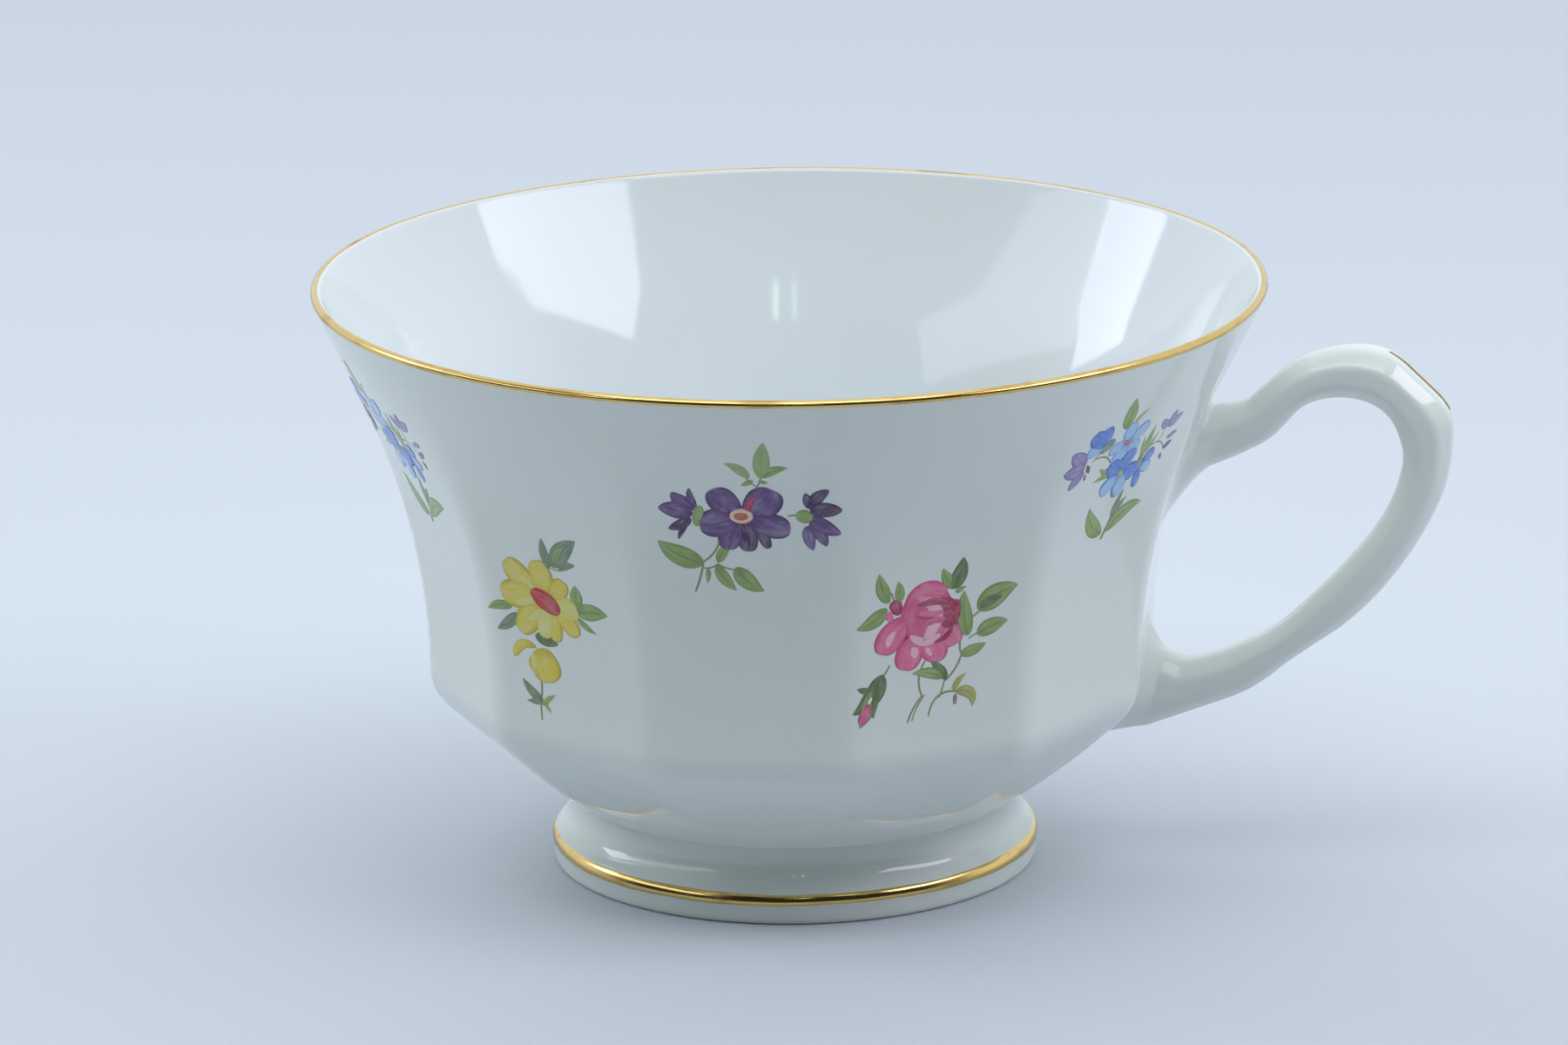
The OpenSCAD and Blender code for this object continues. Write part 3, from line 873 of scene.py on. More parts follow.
class Handle:
    """Rings of the handle and where its roots meet the wall."""
    around = 64
    root_steps = 22
    root_spread = 1.3
    thumb_station = 7
    gap = 0.3 * MM
    upper = (45.5 * MM, 6.1 * MM)
    lower = (20.7 * MM, 6.5 * MM)

    def __init__(self):
        self.s = bpy.context.scene.teacup_handle
        self.wall = Wall()
        self.a = -np.arange(self.around) * TURN / self.around

    def station(self, k, t):
        """The handle between two stations, on a smooth curve through four."""
        last = len(HANDLE) - 1
        a, b, c, d = (HANDLE[min(max(k + i, 0), last)] for i in (-1, 0, 1, 2))
        return (b + (c - a) * t / 2 + (2 * a - 5 * b + 4 * c - d) * t * t / 2
                + (3 * (b - c) + d - a) * t ** 3 / 2)

    def ring(self, s, place=0.0):
        """The section at a station, a rounded octagon with crisper edges on the thumb rest."""
        near_thumb = float(smooth(1.4 - abs(place - self.thumb_station) / 2.5))
        rounding = mix(self.s.edge_rounding, self.s.thumb_rounding, near_thumb)
        waist = self.wall.s.waist_radius
        middle = np.array([waist + (s[0] + s[2]) / 2, 0, (s[1] + s[3]) / 2])
        half = np.array([(s[0] - s[2]) / 2, 0, (s[1] - s[3]) / 2])
        radius = polygon_radius(8, rounding, self.a) / polygon_radius(8, rounding, 0.0)
        across = np.array([0, 1, 0])
        return (middle + np.outer(radius * np.cos(self.a), half)
                + np.outer(radius * np.sin(self.a) * s[4] / 2, across))

    def footprint(self, root, flip, scale=1.0, grow=0.0, gap=0.0):
        """The root's outline on the wall."""
        height, half_height = root
        half_width = self.s.root_width / 2 * scale + grow
        return self.wall.point(half_width * np.sin(self.a),
                               height + flip * (half_height * scale + grow) * np.cos(self.a), gap)

    def root(self, ring, root, flip, u):
        """A ring of the root that spreads from the handle, at u = 0, to the wall, at u = 1."""
        wall = self.footprint(root, flip, gap=self.gap)
        spread = u ** self.root_spread
        return np.stack([mix(ring[:, 0], wall[:, 0], u), mix(ring[:, 1], wall[:, 1], spread),
                         mix(ring[:, 2], wall[:, 2], spread)], -1)


class TEACUP_OT_handle(Operator):
    """Make the loop handle and the smoothed slip at both of its roots"""
    bl_idname = "teacup.handle"
    bl_label = "Handle"

    def execute(self, context):
        h = Handle()
        steps = 8
        body = [h.ring(h.station(k, i / steps), k + i / steps) for k in range(len(HANDLE) - 1)
                for i in range(steps)]
        body.append(h.ring(HANDLE[-1]))
        shares = np.linspace(0, 1, h.root_steps + 1)[1:]
        upper = [h.root(body[0], h.upper, 1, u) for u in shares[::-1]]
        lower = [h.root(body[-1], h.lower, -1, u) for u in shares]
        caps = (0.4, 0.8)
        rings = ([h.footprint(h.upper, 1, c, gap=h.gap) for c in caps] + upper + body + lower
                 + [h.footprint(h.lower, -1, c, gap=h.gap) for c in caps[::-1]])
        ends = [h.wall.point(0.0, root[0], h.gap) for root in (h.upper, h.lower)]
        points, faces = skin(rings, *ends)
        finish_piece(make_object("handle_porcelain", points, faces, 50), porcelain(), "handle", "porcelain")
        for name, ring, root, flip in (("upper", body[0], h.upper, 1), ("lower", body[-1], h.lower, -1)):
            self.joint(h, name, ring, root, flip)
        return {"FINISHED"}

    @staticmethod
    def joint(h, name, ring, root, flip):
        """Slip smoothed into the corner between a root and the wall."""
        start = h.root(ring, root, flip, 0.62)
        corner = h.footprint(root, flip, gap=0.0)
        end = h.footprint(root, flip, grow=h.s.fillet, gap=-0.06 * MM)
        buried = h.footprint(root, flip, 0.8, gap=-0.3 * MM)
        rings = [*fillet(start, corner, end, 12), buried]
        points, faces = skin(rings, loop=True)
        finish_piece(make_object(f"{name}_handle_slip_fillet", points, faces, 60), slip(),
                     f"{name}_handle_slip_joint", "slip")


# ---------------------------------------------------------------- the gilding

def gold_ring(name, node, section, around=720):
    """A closed band of gold round the axis. Its section at an angle is a list of (inside, outside) points."""
    rings = []
    for a in np.arange(around) * TURN / around:
        pairs = section(a)
        outline = [p for p, _ in pairs] + [q for _, q in reversed(pairs)]
        rings.append([(r * math.cos(a), r * math.sin(a), z) for r, z in outline])
    points, faces = skin(rings, loop=True)
    finish_piece(make_object(name, points, faces, 60), gilding(), node, "gilding")


class TEACUP_OT_gilding(Operator):
    """Make the gold on the lip and foot and the line on the thumb rest, with hand-painted edges"""
    bl_idname = "teacup.gilding"
    bl_label = "Gilding"

    def execute(self, context):
        s = context.scene.teacup_gilding
        wall, foot = Wall(), Foot()
        lip = np.array([wall.lip_radius, wall.lip_height])
        spots, under = np.linspace(0, 1, 15), 0.02 * MM

        def film(share):
            """Thickness across a band, thin at both edges."""
            return s.thickness * (1 - abs(2 * share - 1) ** 3) + 0.004 * MM

        def lip_section(a):
            low = s.lip_low + s.wander * wander(a, 1.0)
            over = s.lip_over + s.wander * wander(a, 4.0)
            pairs = []
            for share in spots:
                spot = mix(low, over, share)
                way = np.array([math.cos(spot), math.sin(spot)])
                pairs.append((lip + way * (wall.lip_round - under),
                              lip + way * (wall.lip_round + film(share))))
            return pairs

        def foot_section(a):
            low = s.foot_low + s.wander * wander(a, 5.0)
            top = s.foot_top + s.wander * wander(a, 2.0)
            return [(foot.flange_point(mix(low, top, share), -under),
                     foot.flange_point(mix(low, top, share), film(share))) for share in spots]

        gold_ring("rim_gilding", "rim_gold_band", lip_section)
        gold_ring("foot_gilding", "foot_gold_band", foot_section)
        self.stripe(s)
        return {"FINISHED"}

    @staticmethod
    def stripe(s):
        """The line along the outer edge of the thumb rest, drawn in one brush stroke."""
        h = Handle()
        first, last, steps = 6, 8, 24
        rings = []
        for i in range((last - first) * steps + 1):
            share = i / ((last - first) * steps)
            k = min(first + i // steps, last - 1)
            station = h.station(k, first + i / steps - k)
            edge = np.array([h.wall.s.waist_radius + station[0], 0, station[1]])
            out = np.array([station[0] - station[2], 0, station[1] - station[3]])
            out /= np.linalg.norm(out)
            half = s.stripe_width / 2 * (0.25 + 0.75 * math.sin(math.pi * share) ** 0.5)
            half *= 1 + 0.08 * wander(share * 5, 3.0)
            shift = 0.05 * MM * wander(share * 3, 6.0)
            section = []
            for c in np.linspace(-1, 1, 9):
                crown = s.thickness * (0.15 + 0.85 * (1 - abs(c) ** 4))
                section.append(edge + out * crown + np.array([0, shift + c * half, 0]))
            section += [edge - out * SUNK + np.array([0, shift + c * half, 0]) for c in (1, -1)]
            rings.append(section)
        ends = [np.mean(rings[i], axis=0) for i in (0, -1)]
        points, faces = skin(rings, *ends)
        line = make_object("handle_gilding", points, faces, 60)
        # The stripe's gold is darkened with painted shade.
        finish_piece(line, gilding(shaded_stripe=True), "handle_gold_stripe", "gilding")


# ---------------------------------------------------------------- the enamel sprays

# Display values of each paint
PAINTS = {
    "violet": (104, 70, 130), "violet_deep": (72, 38, 92), "violet_dark": (58, 28, 74),
    "violet_wash": (126, 104, 158), "crimson": (170, 44, 86), "orange": (196, 96, 62),
    "cream": (232, 206, 178), "pink": (230, 112, 154), "pink_pale": (242, 184, 204),
    "pink_deep": (204, 60, 112), "blush": (218, 92, 140), "leaf": (142, 170, 92),
    "leaf_dark": (92, 120, 66), "leaf_pale": (158, 180, 118), "leaf_grey": (122, 142, 110),
    "leaf_gold": (172, 176, 88), "stem": (136, 136, 90), "stem_dark": (98, 100, 70),
    "brown": (152, 118, 104), "yellow": (224, 206, 70), "yellow_deep": (186, 160, 58),
    "yellow_pale": (222, 216, 124), "red": (196, 42, 48), "red_bright": (222, 100, 86),
    "red_dark": (140, 40, 50), "blue": (90, 134, 222), "blue_deep": (56, 90, 184),
    "blue_pale": (160, 200, 240), "mauve": (152, 136, 192), "mauve_deep": (110, 94, 140),
    "ink": (96, 86, 108), "white": (236, 238, 236),
}

# Kinds of brush stroke: rise and fall of its width along it, edge, vein and root shading, and fullness
BRUSHES = {
    "petal": ((0.55, 0.38), (0.85, 0.0, 0.55), 1.2),
    "bell": ((0.55, 0.7), (0.8, 0.35, 0.5), 1.15),
    "leaf": ((0.6, 0.9), (0.55, 0.5, 0.3), 1.08),
    "blade": ((0.7, 1.2), (0.4, 0.3, 0.35), 1.1),
    "spot": ((0.5, 0.5), (0.6, 0.0, 0.0), 1.0),
    "dab": ((0.5, 0.5), (0.25, 0.0, 0.0), 1.0),
    "stem": ((0.12, 0.12), (0.35, 0.0, 0.0), 1.0),
}

# Each group of strokes: kind, body paint and edge paint. Each stroke in it: layer, width and bend, then
# sideways and height in millimetres, on its side of the bowl, of its root and of its tip
VIOLET = [
    ("stem", "stem", "stem_dark", [
        (0, 0.34, 0.12, -2.1, 48.4, -4.0, 45.2), (0, 0.36, 0.03, -4.0, 45.3, -5.1, 41.5),
        (0, 0.3, -0.12, -4.1, 44.4, -2.4, 45.0), (0, 0.28, -0.1, -2.6, 45.0, -0.3, 44.3),
    ]),
    ("leaf", "leaf", "leaf_dark", [
        (1, 2.6, 0.08, -4.0, 45.0, -8.7, 47.6), (0, 1.2, 0.05, -2.5, 45.1, -1.0, 47.6),
        (1, 1.45, -0.08, -2.6, 44.8, -0.7, 41.8), (2, 2.1, -0.1, -0.6, 44.6, 2.2, 41.8),
    ]),
    ("blade", "leaf", "leaf_dark", [(1, 0.6, 0.05, -3.6, 44.4, -3.8, 42.5)]),
    ("leaf", "leaf_pale", "leaf", [(1, 1.95, 0.02, 2.8, 55.7, 3.3, 60.2)]),
    ("leaf", "leaf", "leaf_dark", [(1, 1.1, 0.1, 2.8, 55.8, 5.6, 57.0)]),
    ("leaf", "leaf_pale", "leaf", [(1, 1.2, -0.1, 1.5, 55.7, -1.0, 57.5)]),
    ("blade", "leaf", "leaf_dark", [
        (1, 0.65, 0.0, 1.9, 55.4, 0.5, 54.7), (1, 0.5, 0.0, 2.5, 55.3, 3.5, 55.1),
    ]),
    ("stem", "stem", "stem_dark", [
        (0, 0.28, -0.06, 2.0, 54.2, 2.8, 56.2), (0, 0.26, 0.08, 2.3, 54.6, 1.0, 56.1),
    ]),
    ("bell", "violet", "violet_deep", [
        (2, 0.8, 0.1, -4.3, 51.9, -4.9, 54.3), (3, 1.7, 0.1, -4.5, 51.7, -6.8, 53.7),
        (4, 2.0, -0.06, -4.8, 50.9, -8.4, 51.6),
    ]),
    ("bell", "violet_deep", "violet_dark", [
        (2, 1.2, 0.06, -5.0, 50.5, -7.5, 49.1), (3, 0.65, -0.05, -5.1, 50.4, -6.5, 47.8),
    ]),
    ("spot", "leaf", "leaf_dark", [(5, 1.3, 0.0, -3.9, 52.1, -4.5, 49.5)]),
    ("bell", "violet_deep", "violet_dark", [
        (2, 1.0, 0.0, 7.5, 51.9, 7.2, 53.9), (3, 1.35, 0.08, 7.5, 52.1, 9.7, 54.2),
        (4, 1.75, 0.02, 7.5, 51.7, 10.9, 51.7),
    ]),
    ("bell", "violet", "violet_deep", [
        (5, 1.7, -0.06, 7.4, 51.0, 10.6, 48.8), (3, 1.4, 0.06, 7.4, 50.2, 9.0, 47.3),
    ]),
    ("bell", "violet_wash", "violet_deep", [(2, 1.3, -0.06, 7.2, 49.8, 7.6, 46.8)]),
    ("stem", "stem", "stem_dark", [(0, 0.3, 0.04, 5.1, 51.0, 6.4, 51.1)]),
    ("spot", "leaf", "leaf_dark", [(6, 1.8, 0.0, 6.0, 51.1, 7.8, 50.8)]),
    ("petal", "violet", "violet_deep", [
        (3, 3.0, 0.06, 0.3, 50.9, -2.4, 54.3), (4, 3.5, -0.08, 0.5, 51.0, 3.9, 54.3),
    ]),
    ("petal", "violet_deep", "violet_dark", [(2, 2.1, 0.04, 0.3, 50.6, 0.8, 46.5)]),
    ("petal", "violet", "violet_deep", [(3, 2.3, -0.06, 0.1, 50.5, -1.4, 46.7)]),
    ("petal", "violet_deep", "violet_dark", [(3, 1.2, 0.08, 1.1, 50.3, 2.9, 46.9)]),
    ("petal", "violet", "violet_deep", [
        (5, 3.2, 0.05, 0.3, 50.8, -4.2, 49.8), (5, 2.8, -0.06, 0.9, 50.9, 5.4, 49.4),
    ]),
    ("dab", "crimson", "violet_dark", [(6, 1.0, 0.1, 1.0, 51.0, 1.9, 53.5)]),
    ("spot", "cream", "orange", [(7, 2.3, 0.0, -0.9, 50.9, 1.6, 51.0)]),
    ("spot", "orange", "crimson", [(8, 1.3, 0.0, -0.5, 50.9, 1.1, 50.95)]),
]

ROSE = [
    ("stem", "stem", "stem_dark", [
        (0, 0.32, 0.06, -5.7, 32.8, -6.8, 31.2), (0, 0.34, -0.14, -1.6, 32.8, -1.8, 28.6),
        (0, 0.34, -0.06, -1.75, 28.9, -3.5, 25.9), (0, 0.26, -0.06, -1.5, 28.9, -3.0, 26.0),
        (0, 0.36, -0.1, 3.0, 36.8, 2.4, 33.1), (0, 0.36, 0.1, 2.6, 33.4, 0.7, 30.1),
        (0, 0.32, 0.05, 3.5, 37.0, 4.7, 37.9), (0, 0.26, 0.05, 3.2, 34.6, 4.4, 35.2),
        (0, 0.3, 0.03, 0.7, 30.3, 0.1, 28.3), (0, 0.34, 0.3, -1.1, 26.3, 2.7, 28.6),
        (0, 0.28, 0.06, -6.2, 41.2, -5.6, 39.1),
    ]),
    ("leaf", "leaf", "leaf_dark", [
        (1, 1.6, 0.06, -6.3, 40.0, -7.8, 43.6), (1, 1.2, -0.04, -5.1, 39.9, -5.5, 42.4),
        (1, 1.9, 0.1, -6.5, 39.4, -9.8, 37.3), (1, 1.4, 0.08, 1.3, 40.8, -0.5, 43.3),
    ]),
    ("leaf", "leaf_dark", "stem_dark", [(2, 1.9, -0.08, 0.9, 40.7, 1.7, 44.4)]),
    ("blade", "leaf", "leaf_dark", [(1, 0.7, 0.05, 1.3, 40.2, 2.5, 40.8)]),
    ("leaf", "leaf", "leaf_dark", [
        (2, 2.0, 0.05, 3.2, 35.0, 2.3, 40.3), (2, 2.9, 0.1, 4.2, 37.7, 8.5, 40.2),
    ]),
    ("leaf", "leaf_dark", "stem_dark", [(3, 1.5, 0.1, 4.3, 38.0, 7.0, 39.2)]),
    ("leaf", "leaf", "leaf_dark", [
        (2, 2.0, 0.06, 4.2, 35.0, 7.7, 36.2), (2, 1.4, -0.06, 2.4, 33.0, 5.3, 33.9),
        (2, 1.3, -0.1, 0.5, 30.5, -3.1, 31.4),
    ]),
    ("leaf", "leaf_dark", "stem_dark", [(1, 1.2, -0.05, 0.9, 30.3, -1.0, 32.6)]),
    ("leaf", "leaf_gold", "stem", [(2, 1.4, 0.34, 2.0, 28.7, 4.0, 26.8)]),
    ("blade", "leaf_gold", "stem", [(1, 0.8, 0.1, 1.7, 28.8, 3.3, 30.8)]),
    ("dab", "brown", "stem_dark", [(2, 0.55, 0.0, 2.0, 28.5, 1.95, 27.3)]),
    ("leaf", "leaf_dark", "stem_dark", [
        (1, 2.3, 0.12, -6.5, 31.8, -9.8, 27.6), (2, 1.8, -0.1, -6.7, 31.6, -7.4, 26.9),
    ]),
    ("leaf", "leaf", "leaf_dark", [(2, 1.9, 0.05, -7.6, 30.2, -9.0, 26.0)]),
    ("blade", "leaf_dark", "stem_dark", [(1, 0.8, 0.0, -8.0, 30.0, -9.4, 30.5)]),
    ("petal", "blush", "crimson", [(3, 1.2, 0.05, -8.0, 28.8, -8.9, 26.4)]),
    ("dab", "white", "leaf_pale", [(4, 0.45, 0.0, -7.6, 29.5, -8.1, 28.5)]),
    ("spot", "blush", "pink_deep", [(1, 1.5, 0.0, 1.0, 35.5, 2.3, 37.2)]),
    ("petal", "crimson", "crimson", [(1, 1.4, 0.0, -5.0, 38.4, -5.8, 40.2)]),
    ("spot", "pink", "pink_deep", [(2, 1.0, 0.0, -6.5, 38.9, -5.8, 37.8)]),
    ("spot", "crimson", "pink_deep", [(1, 6.4, 0.0, -5.0, 37.0, 2.0, 36.6)]),
    ("petal", "pink", "pink_deep", [(3, 3.0, -0.1, -3.6, 37.8, -6.7, 34.0)]),
    ("dab", "pink_pale", "pink", [(4, 1.1, -0.1, -5.3, 36.6, -6.1, 34.8)]),
    ("petal", "pink", "pink_deep", [(4, 2.9, 0.0, -3.0, 35.8, -4.0, 31.9)]),
    ("dab", "pink_pale", "pink", [(5, 1.2, 0.1, -3.2, 34.5, -3.0, 33.2)]),
    ("petal", "pink", "pink_deep", [(3, 2.9, 0.16, -2.4, 35.6, -0.4, 32.4)]),
    ("dab", "pink_pale", "pink", [(4, 0.7, -0.1, -1.6, 34.4, -0.8, 33.2)]),
    ("petal", "pink", "pink_deep", [(3, 2.6, 0.1, -0.6, 36.2, 1.9, 34.2)]),
    ("spot", "blush", "pink_deep", [(5, 6.6, 0.0, -2.0, 41.6, -1.6, 34.4)]),
    ("petal", "pink", "pink_deep", [(6, 2.2, 0.25, -4.3, 39.0, 0.2, 40.2)]),
    ("dab", "pink", "pink_deep", [(7, 1.0, 0.12, -2.9, 40.7, -2.0, 41.7)]),
    ("petal", "crimson", "crimson", [(6, 2.9, -0.08, 0.0, 39.9, 1.5, 36.6)]),
    ("petal", "crimson", "pink_deep", [(7, 1.9, 0.05, -0.2, 37.8, 2.1, 38.6)]),
    ("petal", "pink_pale", "blush", [(8, 1.7, 0.36, -3.3, 40.3, -2.0, 35.0)]),
    ("dab", "pink_pale", "pink", [(8, 1.3, -0.24, -3.6, 35.9, 0.0, 35.7)]),
    ("dab", "crimson", "pink_deep", [(9, 1.1, 0.1, -3.0, 39.2, 0.5, 39.1)]),
    ("dab", "pink", "blush", [(9, 1.1, -0.1, -2.8, 38.4, 0.2, 38.3)]),
    ("dab", "crimson", "pink_deep", [(10, 0.45, -0.12, -3.0, 38.1, -0.6, 37.8)]),
    ("dab", "blush", "pink_deep", [(9, 1.2, 0.1, -2.2, 36.9, 0.4, 37.2)]),
    ("dab", "crimson", "pink_deep", [(9, 0.8, -0.2, -0.9, 34.8, 1.3, 36.6)]),
]

YELLOW = [
    ("stem", "stem", "stem_dark", [
        (0, 0.3, 0.1, -1.4, 41.0, -0.5, 42.4), (0, 0.26, -0.08, -0.8, 42.1, 0.8, 42.0),
        (0, 0.4, 0.02, -4.0, 29.0, -4.1, 26.6), (0, 0.36, -0.04, -4.1, 26.8, -4.15, 24.0),
    ]),
    ("leaf", "leaf_grey", "leaf_dark", [
        (1, 1.35, 0.05, -0.9, 41.9, -0.9, 45.6), (1, 2.3, 0.06, -0.4, 42.2, 3.8, 46.0),
    ]),
    ("leaf", "leaf", "leaf_dark", [(2, 0.9, 0.1, -0.1, 42.6, 2.1, 45.0)]),
    ("leaf", "leaf_grey", "brown", [(1, 1.0, 0.1, 0.5, 42.0, 2.9, 42.9)]),
    ("leaf", "leaf", "leaf_dark", [
        (1, 1.8, -0.05, 1.9, 38.0, 2.2, 40.5), (1, 2.1, 0.06, 1.9, 37.2, 6.1, 37.6),
    ]),
    ("blade", "leaf", "leaf_dark", [(1, 0.85, -0.08, 1.9, 36.7, 4.3, 35.2)]),
    ("leaf", "leaf", "leaf_dark", [(1, 1.2, -0.1, -7.0, 36.4, -10.6, 35.6)]),
    ("leaf", "leaf_grey", "leaf_dark", [(1, 1.4, 0.06, -6.4, 35.8, -9.5, 33.5)]),
    ("leaf", "leaf_dark", "stem_dark", [(1, 1.6, 0.0, -4.3, 33.6, -1.2, 33.0)]),
    ("petal", "yellow", "yellow_deep", [
        (2, 1.1, -0.26, -4.3, 32.2, -7.4, 30.7), (2, 3.2, 0.1, -3.9, 32.2, -4.4, 28.8),
        (3, 3.6, -0.06, -2.9, 32.3, -2.9, 28.4),
    ]),
    ("dab", "yellow_pale", "yellow", [(4, 1.0, 0.1, -4.9, 31.5, -4.9, 29.6)]),
    ("leaf", "leaf_grey", "leaf_dark", [(1, 1.2, 0.08, -3.9, 26.2, -6.6, 28.4)]),
    ("blade", "leaf_grey", "leaf_dark", [(1, 0.75, 0.0, -3.9, 26.1, -6.2, 25.9)]),
    ("blade", "leaf_gold", "leaf_dark", [
        (1, 0.7, 0.05, -4.0, 25.7, -2.1, 27.2), (1, 0.5, 0.0, -3.8, 26.0, -2.8, 25.0),
    ]),
    ("petal", "yellow", "yellow_deep", [
        (3, 3.0, 0.05, -2.6, 38.4, -6.8, 42.1), (4, 2.9, -0.04, -2.2, 38.4, -2.5, 42.7),
        (5, 3.1, -0.05, -2.4, 38.0, -8.2, 37.8), (4, 2.8, -0.06, -2.3, 37.6, -6.2, 33.7),
    ]),
    ("petal", "yellow_pale", "yellow", [(5, 2.0, 0.0, -2.2, 37.4, -3.0, 33.5)]),
    ("petal", "yellow", "yellow_deep", [
        (3, 1.9, 0.03, -1.8, 37.4, -1.4, 33.3), (4, 2.2, 0.06, -1.5, 37.5, 1.6, 34.4),
    ]),
    ("petal", "yellow_pale", "yellow", [(5, 2.5, -0.08, -1.4, 37.8, 2.2, 37.6)]),
    ("petal", "yellow", "yellow_deep", [(3, 2.2, -0.05, -1.6, 38.4, 0.8, 40.7)]),
    ("dab", "yellow_pale", "yellow", [
        (6, 1.2, 0.0, -3.6, 37.9, -6.4, 37.0), (6, 1.0, 0.0, -3.0, 36.8, -4.8, 35.2),
        (6, 0.9, 0.0, -3.4, 39.0, -5.0, 40.6),
    ]),
    ("spot", "red", "red_dark", [(7, 3.0, 0.0, -4.0, 38.9, -0.3, 36.9)]),
    ("dab", "red_bright", "red", [
        (8, 0.4, 0.0, -2.9, 38.9, -2.3, 37.6), (8, 0.35, 0.0, -2.1, 38.5, -1.6, 37.2),
        (8, 0.3, 0.0, -3.3, 38.2, -2.8, 37.3), (8, 0.3, 0.0, -1.4, 37.9, -1.0, 37.1),
    ]),
]

